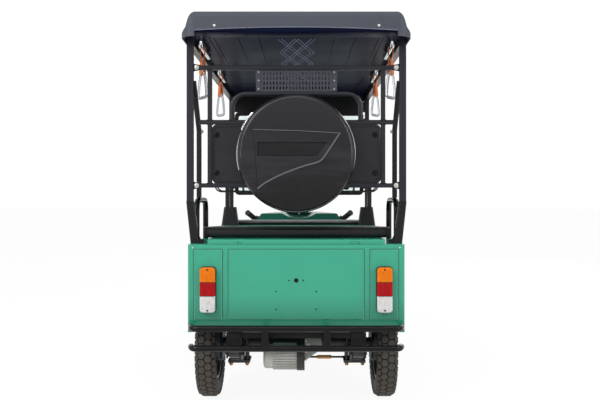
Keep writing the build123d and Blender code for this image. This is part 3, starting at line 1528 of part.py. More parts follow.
with BuildPart() as strap_grips:
    for side in (-1, 1):
        for at in strap_at:
            y = rear_post_y + at
            loop_inside = grab_tube / 2 + soft_gap
            seat = sqrt(loop_inside ** 2 - (grip_bar / 2) ** 2) - soft_gap
            top_bar_z = strap_low_z - seat + grip_bar / 2
            ring_plane = Plane(
                origin=(side * grab_x - grip_bar / 2, y, top_bar_z), x_dir=(0, 1, 0), z_dir=(1, 0, 0)
            )
            with BuildSketch(ring_plane) as ring:
                with BuildLine():
                    FilletPolyline(
                        (-grip_half * 0.5, grip_bar / 2), (grip_half * 0.5, grip_bar / 2),
                        (grip_half, -grip_ring), (-grip_half, -grip_ring), close=True, radius=12,
                    )
                make_face()
                with BuildLine():
                    FilletPolyline(
                        (-grip_half * 0.5 + 10, -grip_bar / 2), (grip_half * 0.5 - 10, -grip_bar / 2),
                        (grip_half - 17, -grip_ring + grip_bar), (-grip_half + 17, -grip_ring + grip_bar),
                        close=True, radius=6,
                    )
                make_face(mode=Mode.SUBTRACT)
            extrude(ring.sketch, amount=grip_bar)
save(strap_grips, "strap_grips")

# ---- Windshield and wiper -----------------------------------------------------
screen_low = 965.0
screen_high = 1548.0
screen_bar = 20.0
screen_glass = 4.0
screen_corner = 30.0
screen_rubber = 10.0
wiper_motor = (90.0, 46.0, 44.0)
wiper_hole = 7.0
wiper_spindle = 6.0
wiper_end = (-200.0, 1511.0)           # x and z of the arm's end, at the blade's middle
wiper_blade = 260.0
header_rim = 22.0
header_field = 4.0

screen_half = post_inner_x
with BuildPart() as windshield_frame:
    screen_plane = Plane(
        origin=(0, screen_y + screen_bar / 2, (screen_low + screen_high) / 2),
        x_dir=(1, 0, 0), z_dir=(0, -1, 0),
    )
    with BuildSketch(screen_plane) as surround:
        RectangleRounded(2 * screen_half - 2 * screen_rubber, screen_high - screen_low, screen_corner)
        RectangleRounded(
            2 * (screen_half - screen_rubber - screen_bar),
            screen_high - screen_low - 2 * screen_bar, screen_corner - 12, mode=Mode.SUBTRACT,
        )
    extrude(surround.sketch, amount=screen_bar)
    for side in (-1, 1):
        for z in (screen_low + 60, screen_high - 60):
            edge = sorted((side * (screen_half - screen_rubber - 6), side * screen_half))
            block((edge[0], screen_y - 3, z - 16), (edge[1], screen_y + 3, z + 16))
    # The header closes the space up to the lining, with a shallow field on each face.
    block((-screen_half, screen_y - screen_bar / 2, screen_high),
          (screen_half, screen_y + screen_bar / 2, rail_top_z))
    for face in (-1, 1):
        with BuildSketch(Plane.XZ.offset(-screen_y - face * (screen_bar / 2 - header_field))) as press:
            with Locations((0, (screen_high + rail_top_z) / 2)):
                RectangleRounded(
                    2 * (screen_half - header_rim), rail_top_z - screen_high - 2 * header_rim, 12
                )
        extrude(press.sketch, amount=-face * (header_field + 1), mode=Mode.SUBTRACT)
    with BuildSketch(Plane.XZ.offset(-screen_y + screen_bar)) as pivot:
        with Locations((0, screen_high - screen_bar / 2)):
            Circle(wiper_hole)
    extrude(pivot.sketch, amount=-2 * screen_bar, mode=Mode.SUBTRACT)
save(windshield_frame, "windshield_frame")

with BuildPart() as windshield_glass:
    glass_half = screen_half - screen_rubber - screen_bar
    with BuildSketch(screen_plane.offset(screen_bar / 2 - screen_glass / 2)) as pane:
        RectangleRounded(
            2 * glass_half, screen_high - screen_low - 2 * screen_bar, screen_corner - 12
        )
    extrude(pane.sketch, amount=screen_glass)
save(windshield_glass, "windshield_glass")

with BuildPart() as wiper:
    # Motor box behind the glass, spindle through the frame and a folded arm in front.
    pivot_z = screen_high - screen_bar / 2
    block((-wiper_motor[0] / 2, screen_y - screen_bar / 2 - wiper_motor[1], pivot_z - wiper_motor[2] / 2),
          (wiper_motor[0] / 2, screen_y - screen_bar / 2, pivot_z + wiper_motor[2] / 2))
    fillet(wiper.edges().filter_by(Axis.Y), 8)
    arm_y = screen_y + screen_bar / 2 + 5
    rod((0, screen_y - screen_bar / 2 - 1, pivot_z), (0, arm_y + 4, pivot_z), 2 * wiper_spindle)
    bar((0, arm_y, pivot_z), (wiper_end[0], arm_y, wiper_end[1]), 14, 4, across=(0, 0, 1))
    glass_face_y = screen_y + screen_glass / 2
    block((wiper_end[0] - wiper_blade / 2, glass_face_y + soft_gap, wiper_end[1] - 5),
          (wiper_end[0] + wiper_blade / 2, arm_y + 2, wiper_end[1] + 5))
save(wiper, "wiper")

# ---- Lamps and small gear -----------------------------------------------------
lamp_size = (66.0, 195.0)
lamp_centre_x = 384.0
lamp_centre_z = 548.0
lamp_depth = 34.0
lamp_corner = 14.0
lamp_base = 8.0
indicator_x = 330.0
indicator_z = 620.0
indicator_radius = 32.0
indicator_depth = 26.0
pedal_x = 150.0
pedal_height = 118.0

with BuildPart() as tail_lamps:
    for side in (-1, 1):
        lamp_plane = Plane(
            origin=(side * lamp_centre_x, tail_y - emboss, lamp_centre_z),
            x_dir=(1, 0, 0), z_dir=(0, -1, 0),
        )
        with BuildSketch(lamp_plane) as base:
            RectangleRounded(lamp_size[0] + 6, lamp_size[1] + 6, lamp_corner + 3)
        extrude(base.sketch, amount=lamp_base)
        with BuildSketch(lamp_plane.offset(lamp_base)) as lens:
            RectangleRounded(*lamp_size, lamp_corner)
        extrude(lens.sketch, amount=lamp_depth - lamp_base)
    fillet(tail_lamps.faces().group_by(Axis.Y)[0].edges(), 9)
save(tail_lamps, "tail_lamps")

# A brake pedal stands on the floor ahead of the driver's right foot.
with BuildPart() as brake_pedal:
    block((pedal_x - 20, screen_y, floor_z), (pedal_x + 20, screen_y + 34, floor_z + 8))
    block((pedal_x - 9, screen_y + 6, floor_z + 8), (pedal_x + 9, screen_y + 28, floor_z + 34))
    bar((pedal_x, screen_y + 17, floor_z + 26), (pedal_x, screen_y - 8, floor_z + pedal_height), 10, 14)
    pad_centre = (pedal_x, screen_y - 10, floor_z + pedal_height)
    with BuildSketch(Plane(origin=pad_centre, x_dir=(1, 0, 0), z_dir=(0, -cos(radians(25)), 0.42))) as pad:
        RectangleRounded(58, 42, 8)
    extrude(pad.sketch, amount=6, both=True)
save(brake_pedal, "brake_pedal")

shield_run = Vector(0, shield_lean, shield_top_z - floor_sheet - floor_z - toe_height)
shield_normal = Vector(0, shield_run.Z, -shield_run.Y).normalized()
with BuildPart() as front_indicators:
    for side in (-1, 1):
        share = (indicator_z - floor_z - toe_height) / shield_run.Z
        origin = (side * indicator_x, nose_floor_y + shield_lean * share, indicator_z)
        with BuildSketch(Plane(origin=origin, z_dir=tuple(shield_normal))) as round_lamp:
            Circle(indicator_radius)
        extrude(round_lamp.sketch, amount=indicator_depth)
    fillet(front_indicators.edges().filter_by(GeomType.CIRCLE).group_by(Axis.Y)[-1], 8)
save(front_indicators, "front_indicators")
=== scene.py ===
"""Electric passenger rickshaw: finishes, padded seats, tyre lugs and small fittings on its frame."""
import json
import math

import bmesh
import bpy
from mathutils import Matrix, Vector


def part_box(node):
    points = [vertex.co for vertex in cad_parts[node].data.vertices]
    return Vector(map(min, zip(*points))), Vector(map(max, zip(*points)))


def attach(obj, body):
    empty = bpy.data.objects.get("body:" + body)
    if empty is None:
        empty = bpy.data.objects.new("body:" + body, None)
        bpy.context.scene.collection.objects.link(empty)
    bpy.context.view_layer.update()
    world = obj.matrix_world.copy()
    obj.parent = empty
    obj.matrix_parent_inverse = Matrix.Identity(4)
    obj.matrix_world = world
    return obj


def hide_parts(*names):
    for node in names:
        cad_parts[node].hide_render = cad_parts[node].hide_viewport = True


bl_info = {
    "name": "Passenger Rickshaw",
    "version": (1, 0, 0),
    "blender": (4, 5, 0),
    "location": "3D View > Sidebar > Rickshaw",
    "description": "Dresses the frame of an electric passenger rickshaw",
    "category": "Add Mesh",
}

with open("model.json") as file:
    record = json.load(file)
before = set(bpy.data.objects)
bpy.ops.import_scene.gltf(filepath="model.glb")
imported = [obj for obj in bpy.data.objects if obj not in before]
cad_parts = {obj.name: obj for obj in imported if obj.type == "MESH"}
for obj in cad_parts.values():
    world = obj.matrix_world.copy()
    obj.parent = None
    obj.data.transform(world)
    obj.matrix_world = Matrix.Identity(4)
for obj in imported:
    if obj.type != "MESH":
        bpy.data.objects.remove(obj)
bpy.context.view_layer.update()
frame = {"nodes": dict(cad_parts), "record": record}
X, Y, Z = Vector((1, 0, 0)), Vector((0, 1, 0)), Vector((0, 0, 1))

# Stations of the frame, in metres.
TAIL_BACK, TAIL_FACE = -1.3190, -1.3150     # the tail's raised fields and the sheet between them
LOCK_Z, LOCK_SCREWS_X = 0.587, (-0.031, 0.031)
PLATE_HOLES_X, PLATE_HOLES_Z = (-0.0875, 0.0875), (0.4615, 0.5385)
AXLE_Y, WHEEL_Z, WHEEL_RADIUS = -0.99, 0.25, 0.2498
FRONT_WHEEL_Y = 1.1
HALF_TRACK = 0.412
SPRING_X = 0.275
COVER_Z = 1.143                             # middle of the spare wheel's cover
SEAT_FRAME_Y = -1.215


# ---- Colours and node groups --------------------------------------------------
def rgb(red, green, blue):
    """A screen colour, 0 to 255, as Blender's linear colour."""
    def linear(value):
        value /= 255
        return value / 12.92 if value <= 0.04045 else ((value + 0.055) / 1.055) ** 2.4
    return (linear(red), linear(green), linear(blue), 1.0)


def node_group(name, inputs, outputs):
    """A new shader node group with its sockets, its input node and its output node."""
    tree = bpy.data.node_groups.new(name, "ShaderNodeTree")
    for label, kind, default in inputs:
        socket = tree.interface.new_socket(name=label, in_out="INPUT", socket_type=kind)
        if default is not None:
            socket.default_value = default
    for label, kind in outputs:
        tree.interface.new_socket(name=label, in_out="OUTPUT", socket_type=kind)
    return tree, tree.nodes.new("NodeGroupInput"), tree.nodes.new("NodeGroupOutput")


def plug(tree, value, socket):
    """Feed an input from another node's socket, or set it to a value."""
    if isinstance(value, bpy.types.NodeSocket):
        tree.links.new(value, socket)
    else:
        socket.default_value = value


def maths(tree, operation, first, second=0.5, third=None, clamp=False):
    """A Math node's output; each operand is a socket or a number."""
    node = tree.nodes.new("ShaderNodeMath")
    node.operation = operation
    node.use_clamp = clamp
    for socket, value in zip(node.inputs, (first, second, third)):
        if value is not None:
            plug(tree, value, socket)
    return node.outputs[0]


def split(tree, vector):
    """The X, Y and Z outputs of a position."""
    node = tree.nodes.new("ShaderNodeSeparateXYZ")
    tree.links.new(vector, node.inputs[0])
    return node.outputs


def noise(tree, vector, scale, detail=4.0, rough=0.55):
    """A noise texture's value over a vector socket."""
    node = tree.nodes.new("ShaderNodeTexNoise")
    node.inputs["Detail"].default_value = detail
    node.inputs["Roughness"].default_value = rough
    tree.links.new(vector, node.inputs["Vector"])
    plug(tree, scale, node.inputs["Scale"])
    return node.outputs["Fac"]


def remap(tree, value, low, high, to_low=0.0, to_high=1.0):
    """A Map Range node's clamped output; each limit is a socket or a number."""
    node = tree.nodes.new("ShaderNodeMapRange")
    tree.links.new(value, node.inputs["Value"])
    for label, limit in (("From Min", low), ("From Max", high), ("To Min", to_low), ("To Max", to_high)):
        plug(tree, limit, node.inputs[label])
    return node.outputs["Result"]


def mix_colour(tree, factor, first, second, blend="MIX"):
    """A colour Mix node's output."""
    node = tree.nodes.new("ShaderNodeMix")
    node.data_type = "RGBA"
    node.blend_type = blend
    for number, value in ((0, factor), (6, first), (7, second)):
        plug(tree, value, node.inputs[number])
    return node.outputs[2]


def build_mottle():
    """Slow changes of tone over a painted or moulded surface."""
    tree, inside, out = node_group(
        "Tone Mottle",
        (("Vector", "NodeSocketVector", None), ("Color", "NodeSocketColor", (0.5, 0.5, 0.5, 1)),
         ("Scale", "NodeSocketFloat", 5.0), ("Amount", "NodeSocketFloat", 0.1)),
        (("Color", "NodeSocketColor"),),
    )
    coarse = noise(tree, inside.outputs["Vector"], inside.outputs["Scale"], 5)
    fine = noise(tree, inside.outputs["Vector"], maths(tree, "MULTIPLY", inside.outputs["Scale"], 9.0), 3)
    both = maths(tree, "ADD", maths(tree, "MULTIPLY", coarse, 0.7), maths(tree, "MULTIPLY", fine, 0.3))
    offset = maths(tree, "MULTIPLY", maths(tree, "SUBTRACT", both, 0.5), inside.outputs["Amount"])
    tone = maths(tree, "MULTIPLY_ADD", offset, 4.0, 1.0)
    grey = tree.nodes.new("ShaderNodeCombineColor")
    for socket in grey.inputs:
        tree.links.new(tone, socket)
    result = mix_colour(tree, 1.0, inside.outputs["Color"], grey.outputs[0], "MULTIPLY")
    tree.links.new(result, out.inputs["Color"])
    return tree


def build_dust():
    """Pale dust, thickest near the ground and in soft patches."""
    tree, inside, out = node_group(
        "Road Dust",
        (("Vector", "NodeSocketVector", None), ("Color", "NodeSocketColor", (0.5, 0.5, 0.5, 1)),
         ("Dust", "NodeSocketColor", rgb(150, 138, 120)), ("Top", "NodeSocketFloat", 0.8),
         ("Amount", "NodeSocketFloat", 0.3)),
        (("Color", "NodeSocketColor"), ("Mask", "NodeSocketFloat")),
    )
    parts = split(tree, inside.outputs["Vector"])
    height = remap(tree, parts["Z"], inside.outputs["Top"], 0.0)
    patches = remap(tree, noise(tree, inside.outputs["Vector"], 14.0, 6, 0.65), 0.35, 0.75)
    low_patches = maths(tree, "MULTIPLY", height, patches)
    mask = maths(tree, "MULTIPLY", low_patches, inside.outputs["Amount"], clamp=True)
    result = mix_colour(tree, mask, inside.outputs["Color"], inside.outputs["Dust"])
    tree.links.new(result, out.inputs["Color"])
    tree.links.new(mask, out.inputs["Mask"])
    return tree


def build_smudge():
    """Uneven gloss: wiped streaks and dull patches, as a roughness value."""
    tree, inside, out = node_group(
        "Uneven Gloss",
        (("Vector", "NodeSocketVector", None), ("Scale", "NodeSocketFloat", 8.0),
         ("Low", "NodeSocketFloat", 0.3), ("High", "NodeSocketFloat", 0.5)),
        (("Roughness", "NodeSocketFloat"),),
    )
    value = noise(tree, inside.outputs["Vector"], inside.outputs["Scale"], 7, 0.7)
    result = remap(tree, value, 0.3, 0.7, inside.outputs["Low"], inside.outputs["High"])
    tree.links.new(result, out.inputs["Roughness"])
    return tree


def build_grain():
    """Pebbled grain of vinyl and moulded plastic, as a height."""
    tree, inside, out = node_group(
        "Pebble Grain",
        (("Vector", "NodeSocketVector", None), ("Scale", "NodeSocketFloat", 400.0),
         ("Softness", "NodeSocketFloat", 0.6)),
        (("Height", "NodeSocketFloat"),),
    )
    cells = tree.nodes.new("ShaderNodeTexVoronoi")
    cells.feature = "SMOOTH_F1"
    tree.links.new(inside.outputs["Vector"], cells.inputs["Vector"])
    tree.links.new(inside.outputs["Scale"], cells.inputs["Scale"])
    tree.links.new(inside.outputs["Softness"], cells.inputs["Smoothness"])
    wide = noise(tree, inside.outputs["Vector"], maths(tree, "MULTIPLY", inside.outputs["Scale"], 0.25), 3)
    height = maths(tree, "ADD", maths(tree, "MULTIPLY", cells.outputs["Distance"], -0.7),
                   maths(tree, "MULTIPLY", wide, 0.5))
    tree.links.new(height, out.inputs["Height"])
    return tree


def build_weave():
    """Flat woven webbing: ribs across and fine threads along, as a height and a shade."""
    tree, inside, out = node_group(
        "Webbing Weave",
        (("Vector", "NodeSocketVector", None), ("Pitch", "NodeSocketFloat", 500.0)),
        (("Height", "NodeSocketFloat"), ("Shade", "NodeSocketFloat")),
    )
    parts = split(tree, inside.outputs["Vector"])
    along = maths(tree, "SINE", maths(tree, "MULTIPLY", parts["Z"], inside.outputs["Pitch"]))
    across = maths(tree, "SINE", maths(tree, "MULTIPLY", parts["Y"],
                                       maths(tree, "MULTIPLY", inside.outputs["Pitch"], 1.7)))
    height = maths(tree, "MULTIPLY_ADD", maths(tree, "MULTIPLY", along, across), 0.5, 0.5)
    tree.links.new(height, out.inputs["Height"])
    tree.links.new(remap(tree, height, 0.0, 1.0, 0.7, 1.0), out.inputs["Shade"])
    return tree


groups = {}


def effect(tree, name, **values):
    """Place a shared group in a material, with sockets or numbers for its inputs."""
    if name not in groups:
        groups[name] = {
            "mottle": build_mottle, "dust": build_dust, "smudge": build_smudge,
            "grain": build_grain, "weave": build_weave,
        }[name]()
    node = tree.nodes.new("ShaderNodeGroup")
    node.node_tree = groups[name]
    for label, value in values.items():
        plug(tree, value, node.inputs[label])
    return node


finishes = {}


def finish(name, colour, gloss=(0.35, 0.5), gloss_scale=8.0, mottle=(5.0, 0.05), dust=None,
           grain=None, colour_from=None, **sockets):
    """A material of uneven tone and gloss, with dust and grain where it has them.

    gloss is the lowest and highest roughness, mottle is scale and amount, dust is the top in
    metres and the amount, grain is scale, softness and depth in metres, and sockets are constant
    values of the shader's own inputs. colour_from takes the tree and the position and gives the
    colour's socket, where the colour isn't the same all over.
    """
    material = bpy.data.materials.new(name)
    material.use_nodes = True
    tree = material.node_tree
    shader = tree.nodes["Principled BSDF"]
    place = tree.nodes.new("ShaderNodeTexCoord").outputs["Object"]
    base = colour_from(tree, place) if colour_from else colour
    tone = effect(tree, "mottle", Vector=place, Color=base, Scale=mottle[0], Amount=mottle[1])
    colour_out = tone.outputs["Color"]
    smudge = effect(tree, "smudge", Vector=place, Scale=gloss_scale, Low=gloss[0], High=gloss[1])
    rough_out = smudge.outputs["Roughness"]
    if dust:
        dusty = effect(tree, "dust", Vector=place, Color=colour_out, Top=dust[0], Amount=dust[1])
        colour_out = dusty.outputs["Color"]
        rough_out = maths(tree, "MULTIPLY_ADD", dusty.outputs["Mask"], 0.5, rough_out, clamp=True)
    tree.links.new(colour_out, shader.inputs["Base Color"])
    tree.links.new(rough_out, shader.inputs["Roughness"])
    if grain:
        height = effect(tree, "grain", Vector=place, Scale=grain[0], Softness=grain[1])
        add_bump(tree, shader, height.outputs["Height"], grain[2])
    for label, value in sockets.items():
        shader.inputs[label.replace("_", " ")].default_value = value
    material.diffuse_color = colour
    finishes[name] = material
    return material


def add_bump(tree, shader, height, distance):
    """Feed a height to the shader's normal."""
    bump = tree.nodes.new("ShaderNodeBump")
    bump.inputs["Strength"].default_value = 1.0
    bump.inputs["Distance"].default_value = distance
    tree.links.new(height, bump.inputs["Height"])
    tree.links.new(bump.outputs["Normal"], shader.inputs["Normal"])


# ---- Mesh helpers -------------------------------------------------------------
def piece(name, bm, materials, body="root", angle=35.0, replaced=()):
    """Turn a finished bmesh into an object that rides on a body."""
    bmesh.ops.remove_doubles(bm, verts=bm.verts, dist=1e-6)
    bmesh.ops.recalc_face_normals(bm, faces=bm.faces)
    mesh = bpy.data.meshes.new(name)
    bm.to_mesh(mesh)
    bm.free()
    for face in mesh.polygons:
        face.use_smooth = True
    mesh.set_sharp_from_angle(angle=math.radians(angle))
    made = bpy.data.objects.new(name, mesh)
    bpy.context.scene.collection.objects.link(made)
    for material in materials if isinstance(materials, (list, tuple)) else [materials]:
        mesh.materials.append(finishes[material])
    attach(made, body)
    if replaced:
        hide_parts(*replaced)
    return made


def new_verts(made):
    """The vertices among what a mesh operator made."""
    return [item for item in made["geom"] if isinstance(item, bmesh.types.BMVert)]


def sharp_edges(geometry, angle=0.8):
    """The edges of some new vertices whose faces meet at more than an angle."""
    edges = {edge for vert in geometry for edge in vert.link_edges}
    return [edge for edge in edges if len(edge.link_faces) == 2 and edge.calc_face_angle(0) > angle]


def round_edges(bm, verts, width, segments=2, angle=0.8):
    """Bevel the sharp edges of some new vertices."""
    bmesh.ops.bevel(
        bm, geom=sharp_edges(verts, angle), offset=width, offset_type="OFFSET", segments=segments,
        profile=0.5, affect="EDGES", clamp_overlap=True, material=-1,
    )


def add_box(bm, low, high, bevel=0.0, segments=2, turn=None):
    """A box between two corners, its edges rounded, turned about its middle if asked."""
    low, high = Vector(low), Vector(high)
    size = high - low
    matrix = Matrix.Translation((low + high) / 2)
    if turn:
        matrix = matrix @ Matrix.Rotation(math.radians(turn[0]), 4, turn[1])
    matrix = matrix @ Matrix.Diagonal((*size, 1))
    made = bmesh.ops.create_cube(bm, size=1.0, matrix=matrix)["verts"]
    if bevel:
        round_edges(bm, made, bevel, segments)


def add_round(bm, start, end, radius, segments=24, bevel=0.0, end_radius=None):
    """A round bar, or a cone's slice, from start to end, its rims rounded."""
    start, end = Vector(start), Vector(end)
    run = end - start
    matrix = Matrix.Translation((start + end) / 2) @ run.to_track_quat("Z", "Y").to_matrix().to_4x4()
    made = bmesh.ops.create_cone(
        bm, cap_ends=True, segments=segments, radius1=radius,
        radius2=radius if end_radius is None else end_radius, depth=run.length, matrix=matrix,
    )["verts"]
    if bevel:
        round_edges(bm, made, bevel)
    return made


def add_bolt(bm, at, axis, across=0.013, high=0.006, washer=0.0105):
    """A hex head on its washer, facing along axis, with the thread's end showing in it."""
    at, axis = Vector(at), Vector(axis).normalized()
    if washer:
        add_round(bm, at - axis * 0.001, at + axis * 0.0015, washer, 24, 0.0004)
    add_round(bm, at + axis * 0.001, at + axis * high, across / 2, 6, 0.0008)
    add_round(bm, at + axis * (high - 0.001), at + axis * (high + 0.0015), across / 4.5, 12, 0.0004)


def add_screw(bm, at, axis, radius=0.005, high=0.003):
    """A domed screw with a cross cut as two shallow bars."""
    at, axis = Vector(at), Vector(axis).normalized()
    made = add_round(bm, at - axis * 0.0008, at + axis * high, radius, 20, 0.0, radius * 0.62)
    round_edges(bm, made, high * 0.45, 3, 0.4)
    side = axis.orthogonal().normalized()
    for way in (side, axis.cross(side)):
        end = way * radius * 0.45
        add_round(bm, at + axis * high - end, at + axis * high + end, radius * 0.09, 4)


def add_screws(bm, across, y, heights, radius, high):
    """Domed screws in rows, facing back, at every x of across and z of heights."""
    for x in across:
        for z in heights:
            add_screw(bm, (x, y, z), -Y, radius, high)


def add_plate(bm, outline, origin, right, up, thick, bevel=0.0, segments=2):
    """A flat plate of a given outline, its face thick above the plane of right and up."""
    right, up = Vector(right), Vector(up)
    verts = [bm.verts.new(Vector(origin) + right * x + up * y) for x, y in outline]
    face = bm.faces.new(verts)
    face.normal_update()
    normal = right.cross(up).normalized()
    moved = new_verts(bmesh.ops.extrude_face_region(bm, geom=[face]))
    bmesh.ops.translate(bm, verts=moved, vec=normal * thick)
    if bevel:
        round_edges(bm, verts + moved, bevel, segments, 0.6)


def rounded_outline(width, height, radius, steps=5):
    """The outline of a rectangle with rounded corners, centred."""
    points = []
    for turn, (sx, sy) in enumerate(((1, 1), (-1, 1), (-1, -1), (1, -1))):
        for step in range(steps + 1):
            angle = math.pi / 2 * (turn + step / steps)
            points.append((sx * (width / 2 - radius) + radius * math.cos(angle),
                           sy * (height / 2 - radius) + radius * math.sin(angle)))
    return points


def add_tube(bm, points, radius, segments=12, closed=False):
    """A tube along a run of points, made by carrying one ring along it."""
    points = [Vector(point) for point in points]
    count = len(points)
    rings = []
    normal = None
    for index, point in enumerate(points):
        before = points[index - 1] if index or closed else point
        after = points[(index + 1) % count] if index + 1 < count or closed else point
        tangent = (after - before).normalized()
        normal = tangent.orthogonal().normalized() if normal is None else (
            normal - tangent * normal.dot(tangent)).normalized()
        matrix = Matrix((normal, tangent.cross(normal), tangent)).transposed().to_4x4()
        matrix = Matrix.Translation(point) @ matrix
        ring = bmesh.ops.create_circle(bm, segments=segments, radius=radius, matrix=matrix)["verts"]
        rings.append([edge for edge in {e for v in ring for e in v.link_edges}])
    pairs = list(zip(rings, rings[1:])) + ([(rings[-1], rings[0])] if closed else [])
    for first, second in pairs:
        bmesh.ops.bridge_loops(bm, edges=first + second)
    if not closed:
        for ring in (rings[0], rings[-1]):
            bmesh.ops.holes_fill(bm, edges=ring, sides=0)


def smooth_run(points, rounds=2, closed=False):
    """A run of points with its corners cut, twice over by default."""
    points = [Vector(point) for point in points]
    for _ in range(rounds):
        cut = [] if closed else [points[0]]
        for first, second in zip(points, points[1:] + (points[:1] if closed else [])):
            cut += [first.lerp(second, 0.25), first.lerp(second, 0.75)]
        points = cut if closed else cut + [points[-1]]
    return points


def add_strip(bm, points, across, width, thick, closed=False):
    """A flat strip along a run of points, width along across, thickened to both sides."""
    aside = Vector(across).normalized() * width
    verts = [bm.verts.new(Vector(point) - aside / 2) for point in points]
    pairs = list(zip(verts, verts[1:] + (verts[:1] if closed else [])))
    edges = [bm.edges.new(pair) for pair in pairs]
    grown = bmesh.ops.extrude_edge_only(bm, edges=edges)
    bmesh.ops.translate(bm, vec=aside, verts=new_verts(grown))
    faces = [item for item in grown["geom"] if isinstance(item, bmesh.types.BMFace)]
    bmesh.ops.recalc_face_normals(bm, faces=faces)
    for face in faces:
        face.normal_update()
    lift = {}
    for face in faces:
        for vert in face.verts:
            lift[vert] = lift.get(vert, Vector()) + face.normal
    for vert, normal in lift.items():
        vert.co -= normal.normalized() * thick / 2
    bmesh.ops.solidify(bm, geom=faces, thickness=-thick)


def add_border(bm, node, y, inset, corner, radius, steps=5):
    """A round bead at one y, along a CAD node's outline from behind, drawn in by inset."""
    low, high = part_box(node)
    middle, size = (low + high) / 2, high - low
    outline = rounded_outline(size.x - 2 * inset, size.z - 2 * inset, corner, steps)
    add_tube(bm, [(middle.x + x, y, middle.z + z) for x, z in outline], radius, 8, closed=True)


def arc_points(centre, radius, start, end, steps=1):
    """Points along an arc seen from behind, between two angles in degrees from the right."""
    angles = [math.radians(start + (end - start) * step / steps) for step in range(steps + 1)]
    return [Vector((centre.x + radius * math.cos(angle), centre.y,
                    centre.z + radius * math.sin(angle))) for angle in angles]


def ring_points(centre, radius, axis, count=32):
    """Points round a circle."""
    axis = Vector(axis).normalized()
    side = axis.orthogonal().normalized()
    other = axis.cross(side)
    return [Vector(centre) + side * radius * math.cos(2 * math.pi * step / count)
            + other * radius * math.sin(2 * math.pi * step / count) for step in range(count)]


# ---- Settings -----------------------------------------------------------------
def colour_property(name, description, red, green, blue):
    """A colour that a user would change."""
    return bpy.props.FloatVectorProperty(
        name=name, description=description, subtype="COLOR", size=4, min=0.0, max=1.0,
        default=rgb(red, green, blue),
    )


def length_property(name, description, default):
    """A length in metres that a user would change."""
    return bpy.props.FloatProperty(
        name=name, description=description, default=default, min=0.0, unit="LENGTH", precision=4,
    )


class RickshawColours(bpy.types.PropertyGroup):
    """Colours of the paint, trim, fabric and lenses."""

    panel: colour_property("Body Paint", "Glossy paint of the boxes and the nose", 56, 158, 128)
    chassis: colour_property("Chassis Paint", "Dark paint of the underframe and its brackets", 11, 12, 15)
    tube: colour_property("Frame Paint", "Satin paint of the posts and bars", 34, 34, 40)
    roof: colour_property("Roof", "Satin moulded roof", 68, 71, 80)
    lining: colour_property("Roof Lining", "Glossy sheet under the roof", 15, 20, 42)
    cover: colour_property("Spare Wheel Cover", "Moulded cover over the spare wheel", 34, 33, 38)
    backing: colour_property("Back Panel", "Panel behind the spare wheel", 32, 31, 36)
    vinyl: colour_property("Seat Vinyl", "Grained vinyl of the seats", 20, 20, 23)
    webbing: colour_property("Strap Webbing", "Woven straps of the hand grips", 214, 118, 50)
    rubber: colour_property("Tyre Rubber", "Tyre walls and the grooves of the tread", 17, 16, 16)
    lugs: colour_property("Tyre Lugs", "Dusty faces of the tread lugs", 62, 56, 51)
    wheel: colour_property("Wheel Paint", "Paint of the pressed wheels", 78, 84, 94)
    amber: colour_property("Amber Lens", "Turn signal lenses", 226, 118, 8)
    red: colour_property("Red Lens", "Tail and brake lens", 168, 4, 14)
    clear: colour_property("Clear Lens", "Reversing lens", 214, 212, 210)


class RickshawSizes(bpy.types.PropertyGroup):
    """Sizes of the tread, trim and fixings."""

    lug_count: bpy.props.IntProperty(
        name="Lugs Round", description="Lugs in each row round a tyre", default=44, min=12, max=80
    )
    lug_height: length_property("Lug Height", "Height of the tread lugs", 0.0092)
    lug_half: length_property("Lug Half Width", "Half the width of a centre lug", 0.0180)
    bead: length_property("Lining Bead", "Width of a raised bead on the lining", 0.0030)
    lattice_pitch: length_property("Lattice Pitch", "Length of one diamond of the lining's lattice", 0.30)
    lattice_half: length_property("Lattice Half Width", "Half the width of the lattice", 0.076)
    bolt: length_property("Bolt Head", "Width across the flats of a bolt head", 0.016)
    piping: length_property("Seat Piping", "Diameter of the seats' piping", 0.007)
    voxel: length_property("Cushion Mesh", "Size of the cushions' cells before they swell", 0.0085)


# ---- Stage --------------------------------------------------------------------
WHITE = 1.05          # brightness of the surround and the floor's glow, as the camera sees them
FLOOR_GLOW = 0.88     # share of the glow in the floor's look; the rest takes the shadows


def add_lamp(name, place, target, power, size, tall=None):
    """A soft lamp aimed at a point, square or as a strip of its own height."""
    data = bpy.data.lights.new(name, "AREA")
    data.shape = "RECTANGLE" if tall else "SQUARE"
    data.size = size
    if tall:
        data.size_y = tall
    data.energy = power
    lamp = bpy.data.objects.new(name, data)
    bpy.context.scene.collection.objects.link(lamp)
    lamp.location = place
    lamp.rotation_euler = (Vector(target) - Vector(place)).to_track_quat("-Z", "Y").to_euler()


def seen_rays(tree):
    """One where a ray comes from the camera, a mirror or a clear pane, and zero elsewhere."""
    path = tree.nodes.new("ShaderNodeLightPath")
    mirror = maths(tree, "MAXIMUM", path.outputs["Is Camera Ray"], path.outputs["Is Glossy Ray"])
    return maths(tree, "MAXIMUM", mirror, path.outputs["Is Transmission Ray"])


